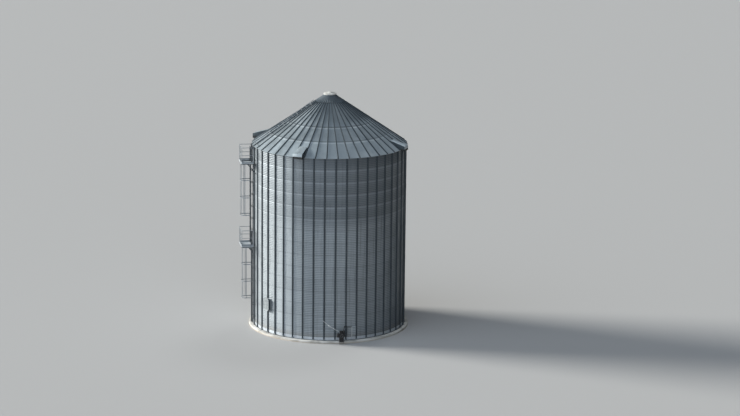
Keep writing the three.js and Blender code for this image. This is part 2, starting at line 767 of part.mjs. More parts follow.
const headCasing = block(span(0, HEAD_SIZE[0]), [headFront, headBack], [headBottom, headTop]);
const headParts = [headCasing, ...headStand(), ...headSides(), ...headLevers(), ...driveMotor()];
add(unloadGroup, 'unload_head', fuse(headParts), 0x2b2c2e, 0.6, 0.5);

// Cover plate over an opening low in the wall, with its edges turned out

const coverGroup = sideGroup(bayAngle(COVER_BAY));
const coverFace = -OUTER_RADIUS - 30;
const coverTurn = 40;
const coverSheet = 12;
const coverHeights = [COVER_BOTTOM, COVER_BOTTOM + COVER_SIZE[1]];
const coverEdges = [-1, 1].map((side) => (
  block(span(side * (COVER_SIZE[0] - coverSheet) / 2, coverSheet), [coverFace - coverTurn, coverFace + 2],
    coverHeights)));
const coverPlate = cut(block(span(0, COVER_SIZE[0]), [coverFace, CLEAR / 2 - INNER_RADIUS], coverHeights), [
  wallBand(0, INNER_RADIUS - CLEAR, OUTER_RADIUS + GAP, 0, WALL_TOP).rotateZ(-bayAngle(COVER_BAY)),
]);
addGalvanised(coverGroup, 'wall_cover', fuse([coverPlate, ...coverEdges]));

export default silo;
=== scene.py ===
# Grain silo: a round bin of corrugated galvanised steel on a concrete pad, with stiffeners outside
# the wall, a ribbed cone roof, vents, a side hatch, a caged ladder in stages and an unload drive.
# Metres, +Z up, and the front faces -Y. Angles are measured from the front towards +X.

import math
import random
import bmesh
import bpy
from mathutils import Matrix, Vector


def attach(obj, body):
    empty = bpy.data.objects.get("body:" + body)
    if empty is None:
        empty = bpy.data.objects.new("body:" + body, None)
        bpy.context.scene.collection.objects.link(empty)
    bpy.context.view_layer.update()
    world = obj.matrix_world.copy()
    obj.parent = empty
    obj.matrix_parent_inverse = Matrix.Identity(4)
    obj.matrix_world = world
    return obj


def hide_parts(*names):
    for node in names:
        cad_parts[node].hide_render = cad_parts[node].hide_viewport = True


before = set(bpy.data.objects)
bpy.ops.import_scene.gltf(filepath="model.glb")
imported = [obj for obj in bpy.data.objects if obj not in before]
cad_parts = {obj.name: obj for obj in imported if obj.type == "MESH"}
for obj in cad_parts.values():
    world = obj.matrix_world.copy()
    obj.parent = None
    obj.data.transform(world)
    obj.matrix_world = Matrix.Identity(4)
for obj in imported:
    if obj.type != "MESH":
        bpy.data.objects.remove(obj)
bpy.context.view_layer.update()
scene = bpy.context.scene

# Camera and light: a long lens from high up in front, with the silo left of the middle of the
# picture. A low sun comes from the left, a wide soft light from the front, and a dim one from behind.

lens = bpy.data.cameras.new("lens")
lens.lens, lens.sensor_width = 128.1, 36
lens.clip_start, lens.clip_end = 10, 2000
camera = bpy.data.objects.new("camera", lens)
scene.collection.objects.link(camera)
scene.camera = camera
scene.view_settings.view_transform = "Standard"
view_distance, view_height, look_down = 175, 8, math.radians(12.9)
camera.location = (0, -view_distance * math.cos(look_down), view_height + view_distance * math.sin(look_down))
look_right, look_lower, picture_tilt = 2.7105, 0.115, 0.0103
look_at = Vector((look_right, 0, view_height - look_lower))
aim = (look_at - camera.location).to_track_quat("-Z", "Y").to_matrix()
camera.rotation_euler = (aim @ Matrix.Rotation(picture_tilt, 3, "Z")).to_euler()


def soft_sun(name, strength, colour, from_angle, height, softness):
    sun = bpy.data.lights.new(name, "SUN")
    sun.energy, sun.color, sun.angle = strength, colour, math.radians(softness)
    lamp = bpy.data.objects.new(name, sun)
    turn, up = math.radians(from_angle), math.radians(height)
    towards = Vector((math.sin(turn) * math.cos(up), -math.cos(turn) * math.cos(up), math.sin(up)))
    lamp.rotation_euler = towards.to_track_quat("Z", "Y").to_euler()
    scene.collection.objects.link(lamp)


soft_sun("key_light", 6.9, (1.0, 1.0, 0.96), -106, 18, 20)
soft_sun("fill_light", 2.75, (0.75, 0.865, 1.0), -30, 25, 104)
soft_sun("back_light", 0.46, (0.90, 0.95, 1.0), 150, 58, 20)
world = bpy.data.worlds.new("studio")
scene.world = world
world.use_nodes = True
studio = world.node_tree.nodes["Background"]
studio.inputs["Color"].default_value = (0.72, 0.86, 1.0, 1)
studio.inputs["Strength"].default_value = 0.02

# Concrete pad: cast in place in a round form, with a rounded top edge, worn and stained. Finishes
# are node trees round one Principled shader, and effects that several share are node groups.


def place(tree, kind, feeds=None, **settings):
    made = tree.nodes.new(kind)
    for key, value in settings.items():
        setattr(made, key, value)
    for socket, value in (feeds or {}).items():
        if isinstance(value, bpy.types.NodeSocket):
            tree.links.new(value, made.inputs[socket])
        else:
            made.inputs[socket].default_value = value
    return made


def ramp(value, low, high, from_value=0.0, to_value=1.0):
    return place(value.id_data, "ShaderNodeMapRange", {
        "Value": value, "From Min": low, "From Max": high, "To Min": from_value, "To Max": to_value,
    }, interpolation_type="SMOOTHSTEP").outputs[0]


def noise(where, scale, detail=3.0, stretch=None):
    if stretch:
        where = place(where.id_data, "ShaderNodeMapping", {"Vector": where, "Scale": stretch}).outputs[0]
    return place(where.id_data, "ShaderNodeTexNoise", {
        "Vector": where, "Scale": scale, "Detail": detail}).outputs[0]


def blend_colour(share, *colours):
    first, second = [c if isinstance(c, bpy.types.NodeSocket) else (*c, 1) for c in colours]
    return place(share.id_data, "ShaderNodeMix", {0: share, 6: first, 7: second}, data_type="RGBA").outputs[2]


class Finish:
    def __init__(self, name, metallic, roughness):
        self.material = bpy.data.materials.new(name)
        self.material.use_nodes = True
        self.tree = self.material.node_tree
        self.shader = self.tree.nodes["Principled BSDF"]
        self.shader.inputs["Metallic"].default_value = metallic
        self.shader.inputs["Roughness"].default_value = roughness
        self.where = place(self.tree, "ShaderNodeTexCoord").outputs["Object"]
        split = place(self.tree, "ShaderNodeSeparateXYZ", {0: self.where}).outputs
        self.across, self.depth, self.height = split
        self.colour = (0.5, 0.5, 0.5)

    def paint(self, share, colour):
        self.colour = blend_colour(share, self.colour, colour)

    def feed(self, socket, value):
        self.tree.links.new(value, self.shader.inputs[socket])

    def bump(self, height, strength, distance):
        self.feed("Normal", place(self.tree, "ShaderNodeBump", {
            "Height": height, "Strength": strength, "Distance": distance}).outputs[0])

    def done(self):
        self.feed("Base Color", self.colour)
        return self


def mottled(name, metallic, roughness, grain, low, high, dark, light):
    """A finish that goes from dark to light in patches, and the noise that they follow."""
    made = Finish(name, metallic, roughness)
    patches = noise(made.where, *grain)
    made.colour = blend_colour(ramp(patches, low, high), dark, light)
    return made, patches


def turn_by(bm, angle):
    """Turns a shape round the silo's middle."""
    bmesh.ops.rotate(bm, verts=bm.verts, matrix=Matrix.Rotation(angle, 3, "Z"))


def finish_piece(name, bm, finishes, stands_for=(), body="silo", crease=35, turn=0.0, gauge=0.0):
    """Gives sheets their gauge, turns the mesh to its place round the silo, and makes it a piece."""
    if gauge:
        thicken(bm, gauge)
    turn_by(bm, turn)
    mesh = bpy.data.meshes.new(name)
    bm.to_mesh(mesh)
    bm.free()
    mesh.shade_smooth()
    mesh.set_sharp_from_angle(angle=math.radians(crease))
    piece = bpy.data.objects.new(name, mesh)
    scene.collection.objects.link(piece)
    for made in finishes:
        mesh.materials.append(made.material)
    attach(piece, body)
    if stands_for:
        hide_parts(*stands_for)
    return piece


def soften(bm, edges, offset, segments=1):
    bmesh.ops.bevel(bm, geom=edges, affect="EDGES", offset=offset, segments=segments, profile=0.5,
                    material=-1)


def thicken(bm, gauge, faces=None):
    bmesh.ops.solidify(bm, geom=faces or list(bm.faces), thickness=gauge)


concrete, _ = mottled("weathered_concrete", 0, 0.9, (1.3, 4.0, (1, 1, 2.4)), 0.35, 0.68,
                      (0.33, 0.31, 0.275), (0.60, 0.575, 0.53))
grit = noise(concrete.where, 26.0, 5.0)
form_marks = noise(concrete.where, 3.0, 2.0, (0.4, 0.4, 9))
concrete.paint(ramp(form_marks, 0.5, 0.75, 0.0, 0.35), (0.26, 0.245, 0.22))
concrete.paint(ramp(concrete.height, 0.0, 0.1, 0.75, 0.0), (0.36, 0.29, 0.215))
concrete.paint(ramp(grit, 0.55, 0.8, 0.0, 0.3), (0.2, 0.19, 0.17))
concrete.bump(grit, 0.5, 0.004)
concrete.done()

pad_radius, pad_height, worst_chip = 5.315, 0.15, 0.006
pad = bmesh.new()
bmesh.ops.create_cone(pad, cap_ends=True, segments=176, radius1=pad_radius, radius2=pad_radius,
                      depth=pad_height)
bmesh.ops.translate(pad, verts=pad.verts, vec=(0, 0, pad_height / 2))
soften(pad, [e for e in pad.edges if all(v.co.z > pad_height - 0.01 for v in e.verts)], 0.022, 3)
chipping = random.Random(4)
for vert in pad.verts:
    if 0.1 < vert.co.z < pad_height - 0.001:
        shrink = 1 - chipping.uniform(0, worst_chip) / pad_radius
        vert.co.x *= shrink
        vert.co.y *= shrink
finish_piece("pad", pad, [concrete], ["concrete_pad"])

# Studio floor under the pad: one plain pale sheet, wider than any view of the silo. It isn't part
# of the silo.

floor_mesh = bmesh.new()
bmesh.ops.create_grid(floor_mesh, x_segments=1, y_segments=1, size=900)
floor_data = bpy.data.meshes.new("studio_floor")
floor_mesh.to_mesh(floor_data)
floor_mesh.free()
floor = bpy.data.objects.new("studio_floor", floor_data)
scene.collection.objects.link(floor)
pale_floor = Finish("pale_floor", 0, 0.9)
pale_floor.shader.inputs["Base Color"].default_value = (0.40, 0.39, 0.38, 1)
floor_data.materials.append(pale_floor.material)

# Wall rings: fifteen rings of thin galvanised sheet, rolled with seven waves to a ring. Each ring is
# bolted outside the one below it, and its sheets meet under the stiffeners, four bays to a sheet.

BAYS = 44
BAY = math.tau / BAYS
FIRST_STIFFENER = math.radians(-3.3)
SHEET_RADIUS = 5.0275
WALL_NODES = [f"wall_segment_{number:02d}" for number in range(1, 12)] + ["hatch_wall"]
rings, waves, ring_height, sheet_lap = 15, 7, 0.8128, 0.03
wave_pitch, wave_reach, steps_to_a_wave = ring_height / waves, 0.0062, 6
wall_foot, rings_start, wall_head = 0.1525, 0.1503, 12.3425
seams = [wall_foot] + [rings_start + ring_height * ring for ring in range(1, rings)] + [wall_head]


def stiffener_angle(bay):
    return FIRST_STIFFENER + bay * BAY


def maths(operation, first, second=0.0, clamp=False):
    tree = next(value for value in (first, second) if isinstance(value, bpy.types.NodeSocket)).id_data
    made = place(tree, "ShaderNodeMath", {0: first, 1: second}, operation=operation, use_clamp=clamp)
    return made.outputs[0]


def times(first, second):
    return maths("MULTIPLY", first, second)


def band(value, middle, half_width, strength=1.0):
    return ramp(maths("ABSOLUTE", maths("SUBTRACT", value, middle)), 0.0, half_width, strength, 0.0)


def angle_round(made):
    return maths("ARCTAN2", made.across, times(made.depth, -1.0))


def effect(name, asks, gives):
    tree = bpy.data.node_groups.new(name, "ShaderNodeTree")
    for label, value in asks.items():
        socket = tree.interface.new_socket(label, in_out="INPUT", socket_type="NodeSocketFloat")
        socket.default_value = value
    for label in gives:
        tree.interface.new_socket(label, in_out="OUTPUT", socket_type="NodeSocketFloat")
    where = place(tree, "ShaderNodeTexCoord").outputs["Object"]
    return tree, tree.nodes.new("NodeGroupInput").outputs, where, tree.nodes.new("NodeGroupOutput").inputs


# Zinc weather: crystals of the hot dip, cloudy patches, and rain marks that run down.
zinc, asks, where, gives = effect(
    "zinc_weather", {"Crystal Size": 0.03, "Patch Size": 0.8, "Rain Marks": 0.5}, ("Tone", "Dullness"))
crystals = place(zinc, "ShaderNodeTexVoronoi", {
    "Vector": where, "Scale": maths("DIVIDE", 1.0, asks["Crystal Size"])}).outputs["Color"]
crystal_tone = place(zinc, "ShaderNodeSeparateColor", {0: crystals}).outputs[0]
patches = noise(where, maths("DIVIDE", 1.0, asks["Patch Size"]), 4.0)
rain = noise(where, 5.0, 3.0, (1, 1, 0.07))
rain_tone = times(maths("SUBTRACT", rain, 0.5), asks["Rain Marks"])
tone = maths("ADD", times(crystal_tone, 0.16), maths("ADD", times(patches, 0.62), rain_tone))
zinc.links.new(maths("ADD", tone, 0.1, True), gives["Tone"])
zinc.links.new(ramp(patches, 0.3, 0.7), gives["Dullness"])

# Streaks: narrow marks that run down a wall, of dirt or of rust.
streaks, asks, where, gives = effect("streaks", {"Width": 0.12, "Amount": 0.3}, ("Mask",))
streak_noise = noise(where, maths("DIVIDE", 1.0, asks["Width"]), 4.0, (1, 1, 0.045))
streaks.links.new(maths("MULTIPLY", ramp(streak_noise, 0.5, 0.78), asks["Amount"], True), gives["Mask"])


def use_effect(made, group, feeds):
    return place(made.tree, "ShaderNodeGroup", feeds, node_tree=group).outputs


def attribute(made, name):
    return place(made.tree, "ShaderNodeAttribute", attribute_name=name).outputs["Fac"]


streak_dirt, black = (0.09, 0.095, 0.095), (0.0, 0.0, 0.0)


def zinc_finish(name, dark, light, metallic=0.6, roughness=(0.46, 0.62), crystal=0.03, patch=0.8,
                rain_marks=0.5, dirt=0.3):
    made = Finish(name, metallic, roughness[0])
    weather = use_effect(made, zinc, {"Crystal Size": crystal, "Patch Size": patch, "Rain Marks": rain_marks})
    made.colour = blend_colour(weather["Tone"], dark, light)
    made.feed("Roughness", ramp(weather["Dullness"], 0.0, 1.0, *roughness))
    made.paint(use_effect(made, streaks, {"Width": 0.14, "Amount": dirt})["Mask"], streak_dirt)
    return made


wall_zinc = zinc_finish("wall_zinc", (0.27, 0.30, 0.32), (0.45, 0.485, 0.505), patch=1.1, dirt=0.35)
shade_zinc, highlight_zinc = (0.06, 0.07, 0.08), (0.7, 0.75, 0.78)
wall_zinc.paint(attribute(wall_zinc, "sheet_tone"), black)
rings_up = maths("DIVIDE", maths("SUBTRACT", wall_zinc.height, seams[1]), ring_height)
in_ring = maths("FRACT", rings_up)
# Painted shade on the lower flank of each wave.
flank_shade = maths("ADD", times(maths("SINE", times(rings_up, waves * math.tau)), 0.5), 0.5)
wall_zinc.paint(times(flank_shade, 0.48), (0.06, 0.066, 0.072))
# Painted shade: the upper rings are darker, least towards the lit left limb.
upper_rings = ramp(wall_zinc.height, 7.5, 8.4)
upper_shade = times(upper_rings, ramp(wall_zinc.across, -4.9, -2.2, 0.06, 0.50))
wall_zinc.paint(upper_shade, shade_zinc)
# Painted shade on the right limb, less where the upper rings are already shaded.
right_shade = maths("SUBTRACT", ramp(wall_zinc.across, 3.4, 5.0, 0.0, 0.54), upper_shade, True)
wall_zinc.paint(right_shade, (0.024, 0.04, 0.054))
# Painted shade on the left limb, behind the ladder.
wall_zinc.paint(ramp(wall_zinc.across, -4.6, -4.95, 0.0, 0.22), shade_zinc)
round_wall = angle_round(wall_zinc)
# A painted highlight: a pale band round the wall towards the left, where the key light glints.
wall_zinc.paint(band(round_wall, -0.58, 0.34, 0.2), (0.70, 0.75, 0.77))
# At the laps, each upper ring grows paler towards its top, with a painted highlight line under its lap. A
# dark line at each lap is painted shadow with some dust.
wall_zinc.paint(times(ramp(in_ring, 0.3, 0.9), times(upper_rings, 0.05)), highlight_zinc)
wall_zinc.paint(times(band(in_ring, 0.88, 0.04), times(upper_rings, 0.2)), highlight_zinc)
for edge in (0.0, 1.0):
    wall_zinc.paint(band(in_ring, edge, 0.06, 0.24), (0.05, 0.055, 0.06))
# Painted shade under the eave, darker towards the right.
eave_shade = times(ramp(wall_zinc.height, 11.3, 12.2), ramp(wall_zinc.across, -4.0, 0.5, 0.1, 0.42))
wall_zinc.paint(eave_shade, (0.04, 0.05, 0.06))
# Painted shade beside the stiffeners widens their dark lines.
across_bay = maths("FRACT", maths("DIVIDE", maths("SUBTRACT", round_wall, FIRST_STIFFENER), BAY))
for side in (0.0, 1.0):
    wall_zinc.paint(band(across_bay, side, 0.17, 0.62), (0.045, 0.058, 0.068))
wall_zinc.paint(ramp(wall_zinc.height, 0.3, 0.8, 0.35, 0.0), (0.16, 0.13, 0.10))
wall_zinc.done()


def strip(bm, points):
    """A chain of edges through points: its vertices and its edges."""
    verts = [bm.verts.new(point) for point in points]
    return verts, [bm.edges.new(pair) for pair in zip(verts, verts[1:])]


def turned(bm, profile, steps, start=0.0):
    """Spins a profile of radius and height right round the silo's middle, and faces it outwards."""
    chain, edges = strip(bm, [(0, -radius, z) for radius, z in profile])
    turn_by(bm, start)
    bmesh.ops.spin(bm, geom=chain + edges, axis=(0, 0, 1), angle=math.tau, steps=steps, use_merge=True)
    bmesh.ops.remove_doubles(bm, verts=bm.verts, dist=0.0005)
    bm.normal_update()
    face_outwards(bm)


def face_outwards(bm):
    middles = [(f.normal, f.calc_center_median()) for f in bm.faces]
    if sum(normal.x * middle.x + normal.y * middle.y for normal, middle in middles) < 0:
        bmesh.ops.reverse_faces(bm, faces=list(bm.faces))


def cut_opening(bm, angle, half_width, low, high, axis):
    """Cuts a square hole in sheets at an angle of the silo, from low to high along the axis."""
    turn_by(bm, -angle)
    along = Vector([1.0 if position == axis else 0.0 for position in range(3)])

    def near(margin):
        return [f for f in bm.faces if f.calc_center_median().y < 0
                and abs(f.calc_center_median().x) < half_width + margin
                and low - margin < f.calc_center_median()[axis] < high + margin]

    for point, direction in (((half_width, 0, 0), (1, 0, 0)), ((-half_width, 0, 0), (1, 0, 0)),
                             (along * low, along), (along * high, along)):
        faces = near(0.8)
        geom = faces + list({e for f in faces for e in f.edges}) + list({v for f in faces for v in f.verts})
        bmesh.ops.bisect_plane(bm, geom=geom, dist=1e-5, plane_co=point, plane_no=direction)
    bmesh.ops.delete(bm, geom=near(0.0), context="FACES")
    turn_by(bm, angle)


hatch_angle = stiffener_angle(38)
hatch_low, hatch_high, hatch_half = 1.69, 2.44, 0.25
sheets_to_a_ring, ring_lean = 11, 0.002
tones = random.Random(11)

for ring in range(rings):
    bottom = seams[ring] - (sheet_lap if ring else 0)
    top = min(seams[ring + 1] + sheet_lap, seams[-1])
    count = round((top - bottom) / wave_pitch * steps_to_a_wave)
    profile = []
    for step in range(count + 1):
        z = bottom + (top - bottom) * step / count
        ripple = wave_reach * math.cos(math.tau * (z - seams[1]) / wave_pitch)
        profile.append((SHEET_RADIUS + ripple + ring_lean * (0.5 - step / count), z))
    sheets = bmesh.new()
    tone_layer = sheets.faces.layers.float.new("sheet_tone")
    turned(sheets, profile, 2 * BAYS, FIRST_STIFFENER)
    ring_tones = [tones.uniform(0.0, 0.12) for _ in range(sheets_to_a_ring)]
    for face in sheets.faces:
        middle = face.calc_center_median()
        bay = ((math.atan2(middle.x, -middle.y) - FIRST_STIFFENER) / BAY) % BAYS
        face[tone_layer] = ring_tones[int(bay / 4 + 0.5 * (ring % 2)) % sheets_to_a_ring]
    if hatch_low < top and bottom < hatch_high:
        cut_opening(sheets, hatch_angle, hatch_half, hatch_low, hatch_high, 2)
    finish_piece(f"wall_ring_{ring + 1:02d}", sheets, [wall_zinc], WALL_NODES, crease=60,
                 gauge=0.0016)

# Ring bolts: galvanised hexagon heads along each lap between two rings. Four stand in each bay,
# clear of the stiffeners.

bolt_zinc = zinc_finish("bolt_zinc", (0.16, 0.18, 0.19), (0.34, 0.36, 0.37), patch=0.2, rain_marks=0.2).done()
to_front, upright = Matrix.Rotation(math.pi / 2, 4, "X"), Matrix()


def bolt_head(bm, x, y, z, radius=0.011, stand=0.009, top=None, lie=to_front, sides=6):
    """A bolt's head on a face that looks to the front, or the way that lie turns it from up."""
    bmesh.ops.create_cone(bm, cap_ends=True, segments=sides, radius1=radius, radius2=top or radius * 0.86,
                          depth=stand, matrix=Matrix.Translation((x, y, z)) @ lie)


def as_data(bm):
    data = bpy.data.meshes.new("part")
    bm.to_mesh(data)
    bm.free()
    return data


def join_in(target, part, move=Matrix()):
    """Joins a shape into another, moved on by the matrix."""
    bmesh.ops.transform(part, verts=part.verts, matrix=move)
    data = as_data(part)
    target.from_mesh(data)
    bpy.data.meshes.remove(data)


def repeated(bm, count, step):
    """Joins that many copies of a shape, each one moved on from the next by one step."""
    data = as_data(bm)
    row = bmesh.new()
    for _ in range(count):
        bmesh.ops.transform(row, matrix=step, verts=row.verts)
        row.from_mesh(data)
    bpy.data.meshes.remove(data)
    return row


seam_bolts = bmesh.new()
for share in (0.2, 0.4, 0.6, 0.8):
    one = bmesh.new()
    bolt_head(one, 0, -SHEET_RADIUS - wave_reach - 0.004, 0)
    join_in(seam_bolts, one, Matrix.Rotation(stiffener_angle(share), 4, "Z"))
seam_bolts = repeated(seam_bolts, BAYS, Matrix.Rotation(BAY, 4, "Z"))
bmesh.ops.translate(seam_bolts, verts=seam_bolts.verts, vec=(0, 0, seams[1]))
seam_bolts = repeated(seam_bolts, rings - 1, Matrix.Translation((0, 0, ring_height)))
finish_piece("seam_bolts", seam_bolts, [bolt_zinc], crease=30)

# Base angle: a band of thin galvanised sheet round the foot of the wall. Its lower edge is turned out
# to lie on the pad.

base_zinc = zinc_finish("base_zinc", (0.40, 0.43, 0.46), (0.60, 0.63, 0.66), patch=0.4, dirt=0.15)
# A dark line along the foot: painted contact shadow, with sealant.
base_zinc.paint(ramp(base_zinc.height, 0.15, 0.19, 0.9, 0.0), (0.05, 0.05, 0.055))
base_zinc.done()
base_band = bmesh.new()
base_face = SHEET_RADIUS + wave_reach + 0.0013
turned(base_band, [(base_face, 0.355), (base_face, 0.1535), (base_face + 0.003, 0.1523),
                   (base_face + 0.058, 0.1518)], 2 * BAYS, FIRST_STIFFENER)
finish_piece("base_angle", base_band, [base_zinc], gauge=0.001)

# Stiffeners: hat-shaped posts of dark steel, darkened further as painted shade, bolted to the sheets
# through both flanges. Sleeves join their lengths, and each stands on a foot that is anchored in the pad.

dark_zinc_settings = {"metallic": 0.3, "roughness": (0.55, 0.7), "dirt": 0.1}
post_zinc = zinc_finish("post_zinc", (0.026, 0.034, 0.040), (0.060, 0.074, 0.084), patch=0.5, rain_marks=0.6,
                        **dark_zinc_settings).done()
post_face = SHEET_RADIUS + wave_reach + 0.0027
post_outline = [(-0.05, 0.0), (-0.033, 0.0), (-0.026, 0.058), (0.026, 0.058), (0.033, 0.0), (0.05, 0.0)]
post_foot, post_head, post_gauge = 0.1545, 12.252, 0.003
hatch_break = (1.64, 2.49)
sleeve_heights = [seams[ring] + 0.4 for ring in (2, 5, 8, 11)]
sleeve_half, sleeve_gauge = 0.16, 0.004


def span(middle, width):
    return (middle - width / 2, middle + width / 2)


def around(verts, kind):
    """The edges or the faces that meet at vertices, each one once."""
    return list(dict.fromkeys(part for vert in verts for part in getattr(vert, kind)))


def block(bm, x, y, z, rounded=0.0):
    made = bmesh.ops.create_cube(bm, size=1)["verts"]
    bmesh.ops.scale(bm, verts=made, vec=(x[1] - x[0], y[1] - y[0], z[1] - z[0]))
    bmesh.ops.translate(bm, verts=made, vec=((x[0] + x[1]) / 2, (y[0] + y[1]) / 2, (z[0] + z[1]) / 2))
    if rounded:
        soften(bm, around(made, "link_edges"), rounded)


def draw_on(bm, edges, move=(0, 0, 0)):
    """Draws edges on by one move: the new vertices, the edges between them, and the faces made."""
    geom = bmesh.ops.extrude_edge_only(bm, edges=edges)["geom"]
    verts = [g for g in geom if isinstance(g, bmesh.types.BMVert)]
    far = [g for g in geom if isinstance(g, bmesh.types.BMEdge) and all(v in verts for v in g.verts)]
    bmesh.ops.translate(bm, verts=verts, vec=move)
    return verts, far, [g for g in geom if isinstance(g, bmesh.types.BMFace)]


def post_length(bm, bottom, top, grown=0.0):
    chain, edges = strip(bm, [
        (x + math.copysign(grown, x), -post_face - out - (grown if out else grown / 2), bottom)
        for x, out in post_outline])
    ends = set(chain + draw_on(bm, edges, (0, 0, top - bottom))[0])
    bends = [e for e in bm.edges if len(e.link_faces) == 2 and e.verts[0] in ends
             and abs(e.verts[0].co.z - e.verts[1].co.z) > 0.1]
    soften(bm, bends, 0.006, 2)


def whole_post(lengths):
    post = bmesh.new()
    for bottom, top in lengths:
        post_length(post, bottom, top)
    for height in sleeve_heights:
        if len(lengths) == 1 or not hatch_break[0] - 0.2 < height < hatch_break[1] + 0.2:
            post_length(post, height - sleeve_half, height + sleeve_half, sleeve_gauge)
    post.normal_update()
    face_outwards(post)
    thicken(post, post_gauge)
    return as_data(post)


def post_bolts(lengths):
    post = bmesh.new()
    spacing = 2 * wave_pitch
    for bottom, top in lengths:
        first = math.ceil((bottom + 0.06 - seams[1]) / spacing)
        last = math.floor((top - 0.04 - seams[1]) / spacing)
        pair = bmesh.new()
        for x in (-0.042, 0.042):
            bolt_head(pair, x, -post_face - 0.006, 0)
        row = repeated(pair, last - first + 1, Matrix.Translation((0, 0, spacing)))
        join_in(post, row, Matrix.Translation((0, 0, seams[1] + first * spacing)))
    return as_data(post)


def post_anchor():
    anchor = bmesh.new()
    face, middle = -post_face, -post_face - 0.092
    block(anchor, (-0.06, 0.06), (face - 0.115, face - 0.066), (0.151, 0.16), 0.002)
    block(anchor, (-0.06, 0.06), (face - 0.07, face - 0.062), (0.151, 0.235), 0.002)
    for x in (-0.035, 0.035):
        bolt_head(anchor, x, middle, 0.166, 0.014, 0.014, 0.014, upright)
        bolt_head(anchor, x, middle, 0.185, 0.007, 0.04, 0.006, upright, 8)
    return as_data(anchor)


full_length = [(post_foot, post_head)]
cut_lengths = [(post_foot, hatch_break[0]), (hatch_break[1], post_head)]
plain_post, plain_bolts, anchor = whole_post(full_length), post_bolts(full_length), post_anchor()
cut_post, cut_bolts = whole_post(cut_lengths), post_bolts(cut_lengths)
for segment in range(11):
    posts, fasteners = bmesh.new(), bmesh.new()
    for bay in range(segment * 4 + 3, segment * 4 - 1, -1):
        for row, parts in ((posts, [cut_post if bay == 38 else plain_post]),
                           (fasteners, [cut_bolts if bay == 38 else plain_bolts, anchor])):
            turn_by(row, BAY)
            for part in parts:
                row.from_mesh(part)
    turn = stiffener_angle(segment * 4)
    finish_piece(f"stiffeners_{segment + 1:02d}", posts, [post_zinc], turn=turn)
    finish_piece(f"stiffener_bolts_{segment + 1:02d}", fasteners, [bolt_zinc], turn=turn)
for part in (plain_post, plain_bolts, cut_post, cut_bolts, anchor):
    bpy.data.meshes.remove(part)

# Roof panels: flat galvanised panels with a folded rib between each two, in three tiers. Each tier
# laps over the one below it, and the panels end in a turned down edge outside the wall.

FIRST_RIB = math.radians(-2)
ROOF_SLOPE = 0.67
wall_top, wall_radius, roof_seat = 12.3423, 5.0365, 0.0159
peak_radius, eave_radius, laps = 0.93, 5.147, [2.74, 3.85]
tiers = [(peak_radius, laps[0] + 0.012, 0.009), (laps[0] - 0.03, laps[1] + 0.012, 0.0045),
         (laps[1] - 0.03, eave_radius, 0.0)]
rib_height, rib_width, rib_widening, crown_share = 0.05, 0.044, 0.046, 0.3
rib_start, rib_end, eave_drop = 0.965, 5.145, 0.014
half_bay = BAY / 2


def rib_angle(bay):
    return FIRST_RIB + bay * BAY


def roof_top(radius):
    return wall_top + roof_seat + (wall_radius - radius) * ROOF_SLOPE


roof_zinc = zinc_finish("roof_zinc", (0.24, 0.28, 0.302), (0.367, 0.415, 0.442), metallic=0.55, patch=0.9,
                        rain_marks=0.25, dirt=0.12)
flat = place(roof_zinc.tree, "ShaderNodeMapping", {"Vector": roof_zinc.where, "Scale": (1, 1, 0)}).outputs[0]
from_middle = place(roof_zinc.tree, "ShaderNodeVectorMath", {0: flat}, operation="LENGTH").outputs["Value"]
roof_zinc.paint(ramp(from_middle, laps[1] + 0.02, laps[1] - 0.02, 0.0, 0.27), (0.07, 0.085, 0.095))
roof_zinc.paint(ramp(from_middle, laps[0] + 0.15, laps[0] - 0.6, 0.0, 0.36), (0.06, 0.075, 0.085))
# At each lap, a dark line of painted shadow and sealant under the upper tier's edge, and a painted highlight
# beyond it.
for lap in laps:
    roof_zinc.paint(band(from_middle, lap + 0.03, 0.05, 0.7), (0.03, 0.035, 0.04))
    roof_zinc.paint(band(from_middle, lap + 0.13, 0.08, 0.25), (0.75, 0.8, 0.82))
# Painted light: the panels are paler at the right, and near the peak at the left.
round_roof = angle_round(roof_zinc)
painted_light = times(ramp(round_roof, 0.7, 1.2, 0.0, 0.36), ramp(round_roof, 2.6, 1.9))
roof_zinc.paint(times(painted_light, ramp(from_middle, 2.2, 2.8)), (0.72, 0.80, 0.84))
painted_light = times(band(round_roof, -1.0, 0.55, 0.2), ramp(from_middle, 3.0, 2.6))
roof_zinc.paint(painted_light, (0.60, 0.66, 0.70))
roof_zinc.paint(attribute(roof_zinc, "panel_tone"), black)
roof_zinc.done()
# The ribs take a darker finish than the panels: painted shade along them.
rib_zinc = zinc_finish("rib_zinc", (0.026, 0.036, 0.042), (0.062, 0.078, 0.088), patch=0.6, rain_marks=0.2,
                       **dark_zinc_settings).done()


upwards, to_the_front = Vector((0, 0, 1)), Vector((0, -1, 0))


def face_towards(bm, way):
    """Makes the faces of an open sheet agree, with most of them turned that way."""
    bmesh.ops.recalc_face_normals(bm, faces=list(bm.faces))
    if sum(f.normal.dot(way) * f.calc_area() for f in bm.faces) < 0:
        bmesh.ops.reverse_faces(bm, faces=list(bm.faces))


def rib_section(bm, radius, lift):
    """A chain of edges across one bay: half a panel, the folded rib, and half a panel."""
    width = rib_width + rib_widening * (radius - rib_start) / (rib_end - rib_start)
    foot, crown = width / 2, crown_share * width
    side = [(radius * math.sin(half_bay) * math.cos(half_bay), -radius * math.cos(half_bay) ** 2, 0),
            (foot, -radius + foot * math.tan(half_bay), 0), (crown, -radius, rib_height)]
    height = roof_top(radius) + lift
    points = [(-x, y, z + height) for x, y, z in side] + [(x, y, z + height) for x, y, z in side[::-1]]
    return strip(bm, points)[1]


